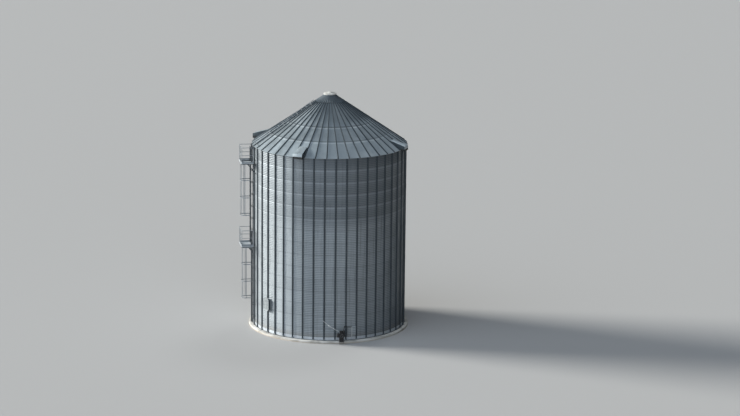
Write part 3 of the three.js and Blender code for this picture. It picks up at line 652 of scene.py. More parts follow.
vent_bays = [8.5, 19.5, 30.5, 41.5]
vent_throat = (4.58, 4.95, 0.15)
shades = random.Random(7)
dull_panels = {34: 0.05, 35: 0.1, 36: 0.2, 37: 0.16, 38: 0.08}
panel_tones = {lift: [shades.uniform(0.0, 0.10) for _ in range(BAYS)] for _, _, lift in tiers}
for sector in range(11):
    panels = bmesh.new()
    tone_layer = panels.faces.layers.float.new("panel_tone")
    for bay in range(sector * 4, sector * 4 + 4):
        for inner, outer, lift in tiers:
            turn_by(panels, -rib_angle(bay))
            edges = rib_section(panels, inner, lift) + rib_section(panels, outer, lift)
            for face in bmesh.ops.bridge_loops(panels, edges=edges)["faces"]:
                across = face.calc_center_median().x
                panel = (bay + (across > 0)) % BAYS
                face[tone_layer] = panel_tones[lift][panel] + dull_panels.get(panel, 0.0)
                face.material_index = int(abs(across) < 0.05)
            turn_by(panels, rib_angle(bay))
    eave = [e for e in panels.edges if len(e.link_faces) == 1
            and all(math.hypot(v.co.x, v.co.y) > eave_radius - 0.02 for v in e.verts)]
    draw_on(panels, eave, (0, 0, -eave_drop))
    bmesh.ops.remove_doubles(panels, verts=panels.verts, dist=0.0005)
    face_towards(panels, upwards)
    for bay in vent_bays:
        if sector * 4 - 1 < bay < sector * 4 + 4:
            cut_opening(panels, rib_angle(bay), vent_throat[2], -vent_throat[1], -vent_throat[0], 1)
    finish_piece(f"roof_panels_{sector + 1:02d}", panels, [roof_zinc, rib_zinc],
                 [f"roof_sector_{sector + 1:02d}"], crease=20, gauge=0.0012)

# Peak skirt: a fluted cone of dull galvanised sheet, pressed over the ends of the ribs, with a collar
# round the fill opening. A bolt through each hollow holds it to the panels.

peak_zinc = zinc_finish("peak_zinc", (0.044, 0.058, 0.068), (0.096, 0.116, 0.132), metallic=0.4,
                        roughness=(0.5, 0.66), patch=0.35, rain_marks=0.3, dirt=0.35).done()
skirt_radius, skirt_slope, skirt_bolt_radius = 0.95, 0.8, 0.905
skirt_foot, flute_depth, flute_end = roof_top(skirt_radius) + 0.0125, 0.052, 0.58
collar_seat, collar_radius, collar_top = 0.388, 0.385, 15.6275


def skirt_top(radius):
    return skirt_foot + (skirt_radius - radius) * skirt_slope


skirt = bmesh.new()
profile = [(radius, skirt_top(radius)) for radius in (0.95, 0.89, 0.83, 0.77, 0.71, 0.65, 0.6, 0.5, 0.4)]
profile += [(collar_seat, skirt_top(collar_seat) + 0.006), (collar_radius, skirt_top(collar_seat) + 0.016),
            (collar_radius, collar_top - 0.008), (collar_radius - 0.004, collar_top - 0.001)]
turned(skirt, profile, BAYS * 6, FIRST_RIB)
for vert in skirt.verts:
    share = (math.hypot(vert.co.x, vert.co.y) - flute_end) / (skirt_radius - flute_end)
    if share > 0:
        ridge = 0.5 + 0.5 * math.cos(BAYS * (math.atan2(vert.co.x, -vert.co.y) - FIRST_RIB))
        vert.co.z += flute_depth * share ** 1.2 * ridge ** 1.5
skirt.normal_update()
finish_piece("peak_skirt_sheet", skirt, [peak_zinc], ["peak_skirt"], gauge=0.0015)

skirt_bolts = bmesh.new()
bolt_head(skirt_bolts, 0, -skirt_bolt_radius, skirt_top(skirt_bolt_radius) + 0.005, 0.012, 0.01, 0.011,
          Matrix.Rotation(math.atan(skirt_slope), 4, "X"))
skirt_bolts = repeated(skirt_bolts, BAYS, Matrix.Rotation(BAY, 4, "Z"))
finish_piece("peak_skirt_bolts", skirt_bolts, [bolt_zinc], turn=FIRST_RIB + half_bay)

# Fill lid: a shallow cone of off-white sheet with a rolled rim, which drops over the collar. The
# paint is chalky, and rust has started round the rim. A bent bar on it is the handle.

lid_white, chalk = mottled("lid_white", 0, 0.62, (5.0, 4.0), 0.35, 0.65,
                           (0.42, 0.41, 0.38), (0.66, 0.65, 0.61))
speckle = noise(lid_white.where, 34.0, 3.0)
lid_white.paint(use_effect(lid_white, streaks, {"Width": 0.08, "Amount": 0.5})["Mask"], (0.34, 0.27, 0.19))
rusty_rim = times(ramp(speckle, 0.56, 0.72), ramp(lid_white.height, 15.66, 15.60))
lid_white.paint(rusty_rim, (0.23, 0.105, 0.045))
lid_white.bump(chalk, 0.25, 0.003)
lid_white.done()

lid = bmesh.new()
turned(lid, [(0.421, 15.5585), (0.4255, 15.561), (0.4265, 15.567), (0.4235, 15.573), (0.4235, 15.622),
             (0.4265, 15.628), (0.4265, 15.635), (0.421, 15.6405), (0.405, 15.6435), (0.3, 15.6675),
             (0.2, 15.6905), (0.09, 15.7155), (0.08, 15.7195), (0.07, 15.7215), (0.0, 15.7305)], 72)
finish_piece("fill_lid_sheet", lid, [lid_white], ["fill_lid"], crease=25, gauge=0.0015)


def pipe(bm, points, radius, bend=0.0, sides=8):
    """A round bar or tube along points, with elbows of that bend and closed ends."""
    points = [Vector(point) for point in points]
    before = set(bm.faces)
    heading = (points[1] - points[0]).normalized()
    lie = Matrix.Translation(points[0]) @ heading.to_track_quat("Z", "Y").to_matrix().to_4x4()
    ring = bmesh.ops.create_circle(bm, cap_ends=True, segments=sides, radius=radius, matrix=lie)["verts"]
    edges = around(ring, "link_edges")
    start = points[0]
    for number, corner in enumerate(points[1:], 1):
        last = number == len(points) - 1
        heading = (corner - points[number - 1]).normalized()
        onward = heading if last else (points[number + 1] - corner).normalized()
        angle = heading.angle(onward)
        setback = bend * math.tan(angle / 2)
        edges = draw_on(bm, edges, corner - heading * setback - start)[1]
        start = corner + onward * setback
        if not last and angle > 0.01:
            axis = heading.cross(onward).normalized()
            centre = corner - heading * setback + axis.cross(heading) * bend
            spun = bmesh.ops.spin(bm, geom=edges, cent=centre, axis=axis, angle=angle,
                                  steps=max(2, round(angle / 0.4)))["geom_last"]
            edges = [g for g in spun if isinstance(g, bmesh.types.BMEdge)]
    bmesh.ops.contextual_create(bm, geom=edges)
    bmesh.ops.recalc_face_normals(bm, faces=[f for f in bm.faces if f not in before])


lid_handle = bmesh.new()
pipe(lid_handle, [(-0.07, -0.27, 15.672), (-0.07, -0.285, 15.712), (0.07, -0.285, 15.712),
                  (0.07, -0.27, 15.672)], 0.006, 0.014)
finish_piece("fill_lid_handle", lid_handle, [bolt_zinc], turn=math.radians(30))

# Roof vents: galvanised hoods that stand between two ribs over a hole in the panel. Each is open below
# past the eave, where its upright front turns down, and bolts hold its edges to the panel and ribs.

vent_zinc = zinc_finish("vent_zinc", (0.25, 0.29, 0.31), (0.50, 0.56, 0.59), metallic=0.45, patch=0.22,
                        dirt=0.4)
# Painted light: the hood at the right is paler.
vent_zinc.paint(ramp(vent_zinc.across, 2.5, 3.5, 0.0, 0.5), (0.80, 0.87, 0.90))
vent_zinc.done()
hem_zinc = zinc_finish("hem_zinc", (0.33, 0.37, 0.39), (0.52, 0.57, 0.59), metallic=0.4, patch=0.2).done()
screen_black, dust = mottled("screen_black", 0.3, 0.6, (30.0, 4.0), 0.35, 0.7,
                             (0.012, 0.013, 0.014), (0.04, 0.04, 0.038))
screen_black.bump(dust, 0.2, 0.001)
screen_black.done()
vent_spread, vent_back, vent_foot, vent_mouth, vent_drop = 0.0606, 4.4, 5.13, 5.43, 0.18
vent_back_top, vent_lip = roof_top(vent_back) + 0.07, 12.5473
hem, mouth_half = vent_lip - vent_drop, vent_spread * vent_mouth
to_side = {side: Matrix.Rotation(side * math.pi / 2, 4, "Y") for side in (-1, 1)}


def vent_top(distance):
    return vent_back_top + (distance - vent_back) / (vent_mouth - vent_back) * (vent_lip - vent_back_top)


def hood_section(bm, distance, foot):
    half, top = vent_spread * distance, vent_top(distance)
    return strip(bm, [(x, -distance, z) for x, z in ((-half, foot), (-half, top), (half, top), (half, foot))])


hood = bmesh.new()
back, back_edges = hood_section(hood, vent_back, roof_top(vent_back) + 0.002)
eave, eave_edges = hood_section(hood, vent_foot, roof_top(vent_foot * 1.002) + 0.003)
front, front_edges = hood_section(hood, vent_mouth - 0.002, hem)
bmesh.ops.bridge_loops(hood, edges=back_edges + eave_edges)
bmesh.ops.bridge_loops(hood, edges=eave_edges + front_edges)
bmesh.ops.contextual_create(hood, geom=back)
bmesh.ops.contextual_create(hood, geom=front)
bmesh.ops.remove_doubles(hood, verts=hood.verts, dist=0.0002)
face_towards(hood, upwards)
soften(hood, [e for e in hood.edges if len(e.link_faces) == 2 and e.calc_face_angle(0) > 0.5], 0.012, 2)
thicken(hood, 0.002)
hood.normal_update()
# The hood's sides take the dark rib finish, a painted shade on them.
for face in hood.faces:
    face.material_index = 1 if abs(face.normal.x) > 0.7 else 3 if face.normal.y < -0.7 else 0
for distance in (vent_foot - 0.02, vent_mouth - 0.05):
    half, height = vent_spread * distance - 0.01, vent_top(distance)
    block(hood, (-half, half), span(-distance, 0.012), (height - 0.003, height + 0.006), 0.002)
block(hood, span(0, 2 * mouth_half), (0.001 - vent_mouth, 0.022 - vent_mouth), (hem - 0.001, hem + 0.003),
      0.0008)
# The screen hangs inside the front and the sides of the mouth. Its near-black finish also stands in for the
# shade under the hood.
shell_faces = set(hood.faces)
screen = (hem - 0.14, hem + 0.02)
block(hood, (0.004 - mouth_half, mouth_half - 0.004), (-vent_mouth + 0.006, -vent_mouth + 0.012), screen)
for side in (-1, 1):
    block(hood, span(side * (mouth_half - 0.012), 0.006), (-vent_mouth + 0.012, -vent_foot - 0.03), screen)
for face in set(hood.faces) - shell_faces:
    face.material_index = 2
hood_bolts = bmesh.new()
for distance in (4.46, 4.62, 4.78, 4.94, 5.08):
    for side in (-1, 1):
        bolt_head(hood_bolts, side * (vent_spread * distance - 0.002), -distance, roof_top(distance) + 0.052,
                  0.01, 0.014, 0.009, to_side[side])
for share in (-0.75, -0.25, 0.25, 0.75):
    bolt_head(hood_bolts, share * mouth_half, -vent_mouth + 0.001, hem + 0.02, 0.009, 0.006)
hood_data, hood_bolt_data = as_data(hood), as_data(hood_bolts)
hood_finishes = [vent_zinc, rib_zinc, screen_black, hem_zinc]
for number, bay in enumerate(vent_bays, 1):
    for name, data, made, node in (("hood", hood_data, hood_finishes, [f"roof_vent_{number}"]),
                                   ("bolts", hood_bolt_data, [bolt_zinc], ())):
        copy = bmesh.new()
        copy.from_mesh(data)
        finish_piece(f"vent_{name}_{number}", copy, made, node, crease=25,
                     turn=rib_angle(bay))
for data in (hood_data, hood_bolt_data):
    bpy.data.meshes.remove(data)

# Side hatch: a deep pressed frame with cut corners, on a plate that is bolted over the hole in the
# sheets. Its door is a dished plate that hangs on two strap hinges and has a bar across its middle.

hatch_zinc = zinc_finish("hatch_zinc", (0.20, 0.215, 0.225), (0.37, 0.395, 0.40), metallic=0.4, crystal=0.04,
                         patch=0.16, rain_marks=0.4, dirt=0.5)
mottle = noise(hatch_zinc.where, 9.0, 3.0)
hatch_zinc.paint(ramp(mottle, 0.5, 0.66, 0.0, 0.55), (0.11, 0.12, 0.125))
hatch_zinc.bump(mottle, 0.15, 0.002)
hatch_zinc.done()
hatch_middle = 2.065


def cut_corners(width, height, y, corner=0.11):
    """The corner points of an upright rectangle with its corners cut off."""
    a, b = width / 2, height / 2
    outline = [(a - corner, b), (a, b - corner), (a, corner - b), (a - corner, -b),
               (corner - a, -b), (-a, corner - b), (-a, b - corner), (corner - a, b)]
    return [Vector((x, y, hatch_middle + z)) for x, z in outline]


def pressed(bm, outlines, closed=False):
    """Sheet drawn from each outline to the next, from the back to the front."""
    outlines = [cut_corners(*outline) for outline in outlines]
    verts, edges = strip(bm, outlines[0])
    edges.append(bm.edges.new((verts[-1], verts[0])))
    for before, after in zip(outlines, outlines[1:]):
        verts, edges, _ = draw_on(bm, edges)
        for vert in verts:
            corner = min(range(8), key=lambda number: (vert.co - before[number]).length)
            vert.co = after[corner]
    if closed:
        bmesh.ops.contextual_create(bm, geom=edges)
    face_towards(bm, to_the_front)
    thicken(bm, 0.002)


def draw_out(bm, faces, move):
    """Draws faces out into a solid by one move: the new vertices."""
    geom = bmesh.ops.extrude_face_region(bm, geom=faces)["geom"]
    verts = [g for g in geom if isinstance(g, bmesh.types.BMVert)]
    bmesh.ops.translate(bm, verts=verts, vec=move)
    return verts


hatch_frame = bmesh.new()
pressed(hatch_frame, [
    (0.70, 0.83, -5.024), (0.70, 0.83, -5.043), (0.694, 0.824, -5.046), (0.572, 0.818, -5.046),
    (0.56, 0.806, -5.051), (0.558, 0.804, -5.172), (0.55, 0.796, -5.1765), (0.508, 0.754, -5.1765, 0.095),
    (0.50, 0.746, -5.172, 0.09), (0.50, 0.746, -5.018, 0.09)])
hinge_x, hinge_y, hinge_heights = 0.315, -5.2155, (hatch_middle - 0.26, hatch_middle + 0.26)
lug = [(0.277, -5.112), (0.326, -5.112), (0.326, -5.222), (0.32, -5.227), (0.31, -5.227), (0.304, -5.222),
       (0.304, -5.169), (0.277, -5.169)]
for height in hinge_heights:
    for low in (height - 0.0503, height + 0.042):
        verts = [hatch_frame.verts.new((x, y, low)) for x, y in lug]
        face = bmesh.ops.contextual_create(hatch_frame, geom=verts)["faces"]
        moved = draw_out(hatch_frame, face, (0, 0, 0.01))
        bmesh.ops.recalc_face_normals(hatch_frame, faces=around(verts + moved, "link_faces"))
hatch_frame.normal_update()
# The frame's side faces take the dark post finish, a painted shade on them.
for face in hatch_frame.faces:
    face.material_index = int(abs(face.normal.x) > 0.45 and face.calc_center_median().y < -5.06)
finish_piece("hatch_surround", hatch_frame, [hatch_zinc, post_zinc], ["hatch_frame"],
             crease=12, turn=hatch_angle)

hatch_bolts = bmesh.new()
for side in (-1, 1):
    for row in (-2, -1, 0, 1, 2):
        bolt_head(hatch_bolts, side * 0.325, -5.05, hatch_middle + row * 0.14)
finish_piece("hatch_surround_bolts", hatch_bolts, [bolt_zinc], turn=hatch_angle)

door = bmesh.new()
pressed(door, [(0.576, 0.846, -5.182), (0.58, 0.85, -5.186), (0.58, 0.85, -5.206), (0.572, 0.842, -5.2105),
               (0.515, 0.785, -5.2105, 0.095), (0.49, 0.76, -5.2025, 0.088)], closed=True)
block(door, (-0.235, 0.235), (-5.2145, -5.203), span(hatch_middle + 0.03, 0.045), 0.003)
block(door, span(0.0, 0.04), (-5.2135, -5.203), span(hatch_middle, 0.6), 0.003)
finish_piece("hatch_door_panel", door, [hatch_zinc], ["hatch_door"], "hatch_door",
             crease=12, turn=hatch_angle)

hinges = bmesh.new()
for height in hinge_heights:
    block(hinges, (-0.145, hinge_x - 0.004), (-5.2195, -5.2108), span(height, 0.06), 0.0025)
    pipe(hinges, [(hinge_x, hinge_y, z) for z in span(height, 0.08)], 0.012, sides=14)
    for x in (-0.11, -0.01, 0.09, 0.19, 0.24):
        bolt_head(hinges, x, -5.223, height, 0.012, 0.008)
handle_x, grip = -0.22, span(hatch_middle, 0.12)
pipe(hinges, [(handle_x, -5.209, grip[0]), (handle_x, -5.248, grip[0]), (handle_x, -5.248, grip[1]),
              (handle_x, -5.209, grip[1])], 0.008, 0.018, 10)
for z in grip:
    block(hinges, span(handle_x, 0.04), (-5.2165, -5.2095), span(z, 0.04), 0.002)
finish_piece("hatch_door_fittings", hinges, [bolt_zinc], (), "hatch_door", turn=hatch_angle)

# Ladders: three, one above another, each a little to one side of the next. Flat galvanised rails carry
# round rungs, and brackets hold the rails off the wall at the middle of each ring.


def rusty_zinc(name, dark, light, metallic, share, rust):
    made = zinc_finish(name, dark, light, metallic=metallic, patch=0.3, crystal=0.02)
    made.paint(times(use_effect(made, streaks, {"Width": 0.3, "Amount": 0.8})["Mask"], share), rust)
    return made.done()


# The rails, rungs and brackets take a dark finish that stands in for their shade; the rust streaks are their
# own.
rung_zinc = rusty_zinc("rung_zinc", (0.045, 0.052, 0.057), (0.095, 0.105, 0.112), 0.4,
                       0.3, (0.14, 0.09, 0.055))
ladder_turn = stiffener_angle(34.5)
ladder_y, ladder_width, ladder_shift = -5.2365, 0.41, 0.345
rail_gauge, rail_depth, rung_spacing, rung_radius = 0.016, 0.05, 0.305, 0.014
wall_side = SHEET_RADIUS + wave_reach + 0.002
deck_heights = (5.58, 11.16)
ladder_foot, above_deck, ladder_head = 0.28, 0.95, 12.4423


def wall_at(x):
    return -math.sqrt(wall_side ** 2 - x * x)


def ladder_pieces(name, ending, bars, bolts, node, made, turn=ladder_turn, crease=30):
    """Makes a piece of the bars, which stands for a node, and one of their bolts."""
    finish_piece(name + ending, bars, made, [node], crease=crease, turn=turn)
    finish_piece(name + "_bolts", bolts, [bolt_zinc], turn=turn)


def ladder(name, middle, bottom, top, node):
    rails, bolts = bmesh.new(), bmesh.new()
    for side in (-1, 1):
        x = middle + side * ladder_width / 2
        outer = x + side * (rail_gauge / 2 + 0.003)
        wall_y = wall_at(x)
        block(rails, span(x, rail_gauge), span(ladder_y, rail_depth), (bottom, top), 0.003)
        first = math.ceil((bottom + 0.06 - seams[1]) / ring_height - 0.75) + 0.75
        height = seams[1] + first * ring_height
        while height < min(top, seams[-1]) - 0.06:
            foot = span(height, 0.04)
            block(rails, span(outer, 0.006), (ladder_y - 0.018, wall_y - 0.003), foot, 0.001)
            block(rails, span(outer + side * 0.022, 0.05), (wall_y - 0.007, wall_y - 0.001), foot, 0.001)
            bolt_head(bolts, outer + side * 0.03, wall_y - 0.011, height, 0.01)
            for depth in (-0.009, 0.011):
                bolt_head(bolts, outer + side * 0.006, ladder_y + depth, height, 0.008, 0.008, 0.007,
                          to_side[side])
            height += ring_height
    half = ladder_width / 2 + rail_gauge / 2 + 0.003
    height = bottom + rung_spacing
    while height < top - 0.06:
        pipe(rails, [(x, ladder_y, height) for x in span(middle, 2 * half)], rung_radius, sides=10)
        height += rung_spacing
    ladder_pieces(name, "_rails", rails, bolts, node, [rung_zinc])


ladder("lower_climb", ladder_shift, ladder_foot, deck_heights[0] + above_deck, "lower_ladder")
ladder("upper_climb", -ladder_shift, deck_heights[0] + 0.001, deck_heights[1] + above_deck, "upper_ladder")
ladder("eave_climb", ladder_shift, deck_heights[1] + 0.001, ladder_head, "eave_ladder")

# Safety cages: hoops bent from flat bar, bolted to the sides of the rails, with five flat straps that
# run down inside them and are bolted to each.

ladder_zinc = rusty_zinc("ladder_zinc", (0.20, 0.22, 0.235), (0.34, 0.365, 0.385), 0.5,
                         0.35, (0.19, 0.13, 0.085))
cage_half, cage_centre, hoop_height, hoop_gauge, hoops, straps = 0.305, -0.395, 0.05, 0.006, 4, 5


def cage(name, middle, bottom, top, node):
    bars, bolts = bmesh.new(), bmesh.new()
    heights = [bottom + hoop * (top - hoop_height - bottom) / (hoops - 1) for hoop in range(hoops)]
    for z in heights:
        ends = [strip(bars, [(middle + side * x, ladder_y + y, z) for x, y in (
            (cage_half - 0.001, cage_centre), (cage_half - 0.001, -0.012), (cage_half - 0.013, 0.001),
            (ladder_width / 2 + rail_gauge / 2 + 0.001, 0.001))])[0] for side in (1, -1)]
        arc = bmesh.ops.spin(bars, geom=[ends[0][0]], cent=(middle, ladder_y + cage_centre, 0),
                             axis=(0, 0, 1), angle=-math.pi, steps=20)["geom_last"]
        bmesh.ops.weld_verts(bars, targetmap={arc[0]: ends[1][0]})
        edges = [e for e in bars.edges if not e.link_faces and all(abs(v.co.z - z) < 1e-4 for v in e.verts)]
        faces = draw_on(bars, edges, (0, 0, hoop_height))[2]
        bmesh.ops.recalc_face_normals(bars, faces=faces)
        if min(faces, key=lambda f: f.calc_center_median().y).normal.y > 0:
            bmesh.ops.reverse_faces(bars, faces=faces)
        thicken(bars, hoop_gauge, faces)
        for side in (-1, 1):
            for step in (0.32, 0.75):
                bolt_head(bolts, middle + side * (cage_half - 0.055 * step - 0.025), ladder_y - 0.004,
                          z + hoop_height / 2, 0.008, 0.008)
    centre, inner = Matrix.Translation((middle, ladder_y + cage_centre, 0)), hoop_gauge - cage_half
    for strap in range(straps):
        lie = centre @ Matrix.Rotation((strap - 2) * math.pi / (straps - 1), 4, "Z")
        one, heads = bmesh.new(), bmesh.new()
        block(one, span(0, 0.04), (inner, inner + 0.005), (bottom, top), 0.001)
        for z in heights:
            bolt_head(heads, 0, -cage_half - 0.002, z + hoop_height / 2, 0.008, 0.006)
        join_in(bars, one, lie)
        join_in(bolts, heads, lie)
    ladder_pieces(name, "_bars", bars, bolts, node, [ladder_zinc])


deck_gauge, arm_depth = 0.03, 0.045
cage_feet = (2.03, 7.49)
cage_tops = [height - deck_gauge - arm_depth - 0.0003 for height in deck_heights]
cage("lower_cage", ladder_shift, cage_feet[0], cage_tops[0], "lower_cage")
cage("upper_cage", -ladder_shift, cage_feet[1], cage_tops[1], "upper_cage")

# Rest platforms: planks of pressed galvanised sheet with rows of studs, in a frame of angle, with a
# way through for the ladder from below. Arms and braces bolted to the wall carry them.

# The deck's pale finish is painted light on it.
deck_zinc = zinc_finish("deck_zinc", (0.42, 0.45, 0.465), (0.68, 0.71, 0.72), metallic=0.3, patch=0.3).done()
deck_half, deck_near, deck_far, way_width, way_edge = 0.65, 5.135, 5.96, 0.554, 0.04
arm_width, brace_drop, brace_reach = 0.026, 0.7, 0.43
planks, studs_to_a_row, stud_pitch = 4, 15, 0.052


def platform(number, top, arrival):
    """One deck: it is built with its way through at the right, and mirrored where that is at the left."""
    deck, bolts = bmesh.new(), bmesh.new()
    underside, frame_top = top - deck_gauge, top - 0.003
    way_near, way_far = span(ladder_shift, way_width)
    for x in (-deck_half, deck_half - 0.005, way_near - 0.005, way_far):
        block(deck, (x, x + 0.005), (-deck_far, -deck_near), (underside, top), 0.001)
    for y, reach in ((-deck_far, deck_half), (-deck_near - 0.005, way_near)):
        block(deck, (-deck_half, reach), (y, y + 0.005), (underside, top), 0.001)
    edge_y, sheet_z = -deck_far + way_edge, (top - 0.006, frame_top)
    block(deck, (way_near, deck_half), (edge_y - 0.005, edge_y), (underside, top), 0.001)
    block(deck, (way_near, deck_half), (-deck_far + 0.003, edge_y - 0.003), sheet_z)
    block(deck, (way_far + 0.003, deck_half - 0.003), (edge_y, -deck_near), sheet_z)
    pitch = (way_near + deck_half - 0.01) / planks
    y = (-deck_far + 0.006, -deck_near - 0.006)
    for plank in range(planks):
        low = -deck_half + 0.005 + plank * pitch
        x = (low + 0.002, low + pitch - 0.002)
        block(deck, x, y, (top - 0.004, top - 0.0015), 0.001)
        for edge in ((x[0], x[0] + 0.002), (x[1] - 0.002, x[1])):
            block(deck, edge, y, (underside + 0.002, frame_top))
        stud = bmesh.new()
        for column, shift in ((0.25, 0.0), (0.5, 0.5), (0.75, 0.0)):
            bolt_head(stud, low + pitch * column, y[0] + 0.02 + stud_pitch * shift, top - 0.0012,
                      0.011, 0.003, 0.006, upright)
        join_in(deck, repeated(stud, studs_to_a_row, Matrix.Translation((0, stud_pitch, 0))))
    for position, middle in enumerate((arm_width / 2 - deck_half, 0.005, deck_half - arm_width / 2)):
        wall_y = wall_at(middle)
        arm_y, plate_y = (-deck_far + 0.002, wall_y - 0.002), (wall_y - 0.008, wall_y - 0.001)
        block(deck, span(middle, 0.006), arm_y, (underside - arm_depth, underside - 0.0005), 0.001)
        block(deck, span(middle, arm_width), arm_y, (underside - 0.0055, underside - 0.0005), 0.001)
        block(deck, span(middle, 0.07), plate_y, (underside - 0.14, underside), 0.001)
        for z in (0.035, 0.11):
            for x in span(middle, 0.048):
                bolt_head(bolts, x, wall_y - 0.012, underside - z, 0.011)
        if position < 2:
            foot = Vector((middle, wall_y - 0.004, underside - brace_drop + 0.03))
            along = Vector((middle, brace_reach - deck_far, underside - arm_depth + 0.012)) - foot
            brace = bmesh.new()
            block(brace, span(0.005, 0.005), span(0, 0.05), (0, along.length), 0.001)
            block(brace, (-0.012, 0.006), (-0.025, -0.02), (0, along.length), 0.001)
            lean = Matrix.Rotation(math.atan2(-along.y, along.z), 4, "X")
            join_in(deck, brace, Matrix.Translation(foot) @ lean)
            block(deck, span(middle, 0.06), plate_y, span(foot.z, 0.09), 0.001)
            for z in (-0.028, 0.028):
                bolt_head(bolts, middle - 0.02, wall_y - 0.012, foot.z + z, 0.01)
    # The parts under the deck take the dark rung finish, painted shade beneath it.
    for face in deck.faces:
        face.material_index = int(face.calc_center_median().z < underside - 0.001)
    if arrival < 0:
        for part in (deck, bolts):
            bmesh.ops.scale(part, vec=(-1, 1, 1), verts=part.verts)
            bmesh.ops.reverse_faces(part, faces=list(part.faces))
    ladder_pieces(f"rest_deck_{number}", "", deck, bolts, f"rest_platform_{number}", [deck_zinc, rung_zinc])


platform(1, deck_heights[0], 1)
platform(2, deck_heights[1], -1)

# Guard rails: galvanised tube, bent at the corners, on posts with foot plates bolted to the deck. A
# middle rail and a toe board run round the same three sides.

guard_height, tube_radius, post_inset, toe_height = 1.067, 0.018, 0.02, 0.1


def guard_rail(number, deck_top):
    rails, bolts = bmesh.new(), bmesh.new()
    x, outer, inner = deck_half - post_inset, post_inset - deck_far, -deck_near - post_inset
    seat, crown = deck_top + 0.0004, deck_top + guard_height - tube_radius
    half_up, post_y = deck_top + guard_height / 2, outer + 0.018
    pipe(rails, [(-x, inner, seat), (-x, inner, crown), (-x, outer, crown), (x, outer, crown),
                 (x, inner, crown), (x, inner, seat)], tube_radius, 0.07, 12)
    pipe(rails, [(-x, inner, half_up), (-x, outer, half_up), (x, outer, half_up), (x, inner, half_up)],
         tube_radius * 0.95, 0.04, 12)
    for post, y, head in ((-x, post_y, crown - 0.012), (0, outer, crown), (x, post_y, crown - 0.012)):
        pipe(rails, [(post, y, seat), (post, y, head)], tube_radius * 0.97, sides=12)
    for px, py in ((-x, inner), (-x, post_y), (0, post_y), (x, post_y), (x, inner)):
        block(rails, span(px, 0.04 if px else 0.07), span(py, 0.04), (seat, seat + 0.006), 0.002)
    for side in (-0.026, 0.026):
        bolt_head(bolts, side, post_y, seat + 0.01, 0.008, 0.008, 0.008, upright)
    toe = (seat + 0.001, seat + toe_height)
    block(rails, (-x, x), span(outer, 0.006), toe, 0.002)
    for side in (-1, 1):
        block(rails, span(side * x, 0.006), (outer, inner), toe, 0.002)
        for py in (inner - 0.07, outer + 0.07):
            bolt_head(bolts, side * (x + 0.004), py, seat + toe_height / 2, 0.008, 0.006, 0.007,
                      to_side[side])
    name = f"guard_rail_{number}"
    ladder_pieces(name, "_tubes", rails, bolts, name, [ladder_zinc], crease=40)


guard_rail(1, deck_heights[0])
guard_rail(2, deck_heights[1])

# Roof ladder: rails and rungs that lie on cross bars, which are bolted down on the ribs, from the eave
# to the foot of the peak skirt.

roof_ladder_shift, low_end, high_end = -0.14, eave_radius - 0.057, skirt_radius + 0.06
bar_seat, bar_pitch = 0.0606, 0.925
rail_low = bar_seat + 0.017
left, right = span(roof_ladder_shift, ladder_width)
pitch_angle = math.atan(ROOF_SLOPE)
rail_length = (low_end - high_end) / math.cos(pitch_angle)
middle_radius = (low_end + high_end) / 2
roof_rungs, roof_bolts = bmesh.new(), bmesh.new()
for x in (left, right):
    rail = bmesh.new()
    block(rail, span(x, 0.014), span(0, rail_length), (0, 0.037), 0.003)
    join_in(roof_rungs, rail, Matrix.Translation((0, -middle_radius, roof_top(middle_radius) + rail_low))
            @ Matrix.Rotation(pitch_angle, 4, "X"))
radius = low_end - rung_spacing / 2
while radius > high_end:
    z = roof_top(radius) + rail_low + 0.0225
    pipe(roof_rungs, [(left - 0.009, -radius, z), (right + 0.009, -radius, z)], 0.012, sides=10)
    radius -= rung_spacing
radius = low_end - 0.09
while radius > high_end:
    reach = max(radius * math.tan(BAY), -left) + 0.02
    low = roof_top(radius - 0.02) + bar_seat
    block(roof_rungs, (-reach, reach), span(-radius, 0.04), (low, low + 0.005), 0.001)
    block(roof_rungs, (-reach, reach), (-radius - 0.02, -radius - 0.015), (low, low + 0.02), 0.001)
    for x in (-reach + 0.02, 0, reach - 0.02):
        bolt_head(roof_bolts, x, -radius + 0.003, low + 0.009, 0.009, 0.008, 0.009, upright)
    radius -= bar_pitch
ladder_pieces("roof_climb", "_rails", roof_rungs, roof_bolts, "roof_ladder", [ladder_zinc], rib_angle(35))

# Unload tube: a rolled steel tube that comes out low through the wall, with a ring bolted to the sheets
# and a clamp band where the head slides on.

unload_turn = stiffener_angle(1.5)
unload_height, tube_start, unload_radius, unload_length = 0.6, 5.0368, 0.11, 0.33
clamp_y = -tube_start - 0.27
tube = bmesh.new()
chain, edges = strip(tube, [(radius, -tube_start - out, 0) for radius, out in (
    (unload_radius, unload_length), (unload_radius, 0.012), (0.114, 0.007), (0.152, 0.007), (0.155, 0.004),
    (0.155, 0.0))])
bmesh.ops.spin(tube, geom=chain + edges, axis=(0, 1, 0), angle=math.tau, steps=32, use_merge=True)
bmesh.ops.recalc_face_normals(tube, faces=list(tube.faces))
if max(tube.faces, key=lambda f: f.calc_center_median().z).normal.z < 0:
    bmesh.ops.reverse_faces(tube, faces=list(tube.faces))
thicken(tube, 0.004)
clamp = bmesh.ops.create_cone(tube, cap_ends=False, segments=32, radius1=unload_radius + 0.004,
                              radius2=unload_radius + 0.004, depth=0.04,
                              matrix=Matrix.Translation((0, clamp_y, 0)) @ to_front)["verts"]
thicken(tube, 0.004, around(clamp, "link_faces"))
block(tube, span(0, 0.05), span(clamp_y, 0.036), (unload_radius, unload_radius + 0.03), 0.003)
bmesh.ops.translate(tube, verts=tube.verts, vec=(0, 0, unload_height))
finish_piece("unload_tube_sheet", tube, [vent_zinc], ["unload_tube"], turn=unload_turn)


def bolt_ring(bm, count, reach, y, radius, stand=0.009):
    for turn in range(count):
        angle = (turn + 0.5) * math.tau / count
        bolt_head(bm, reach * math.cos(angle), y, unload_height + reach * math.sin(angle), radius, stand)


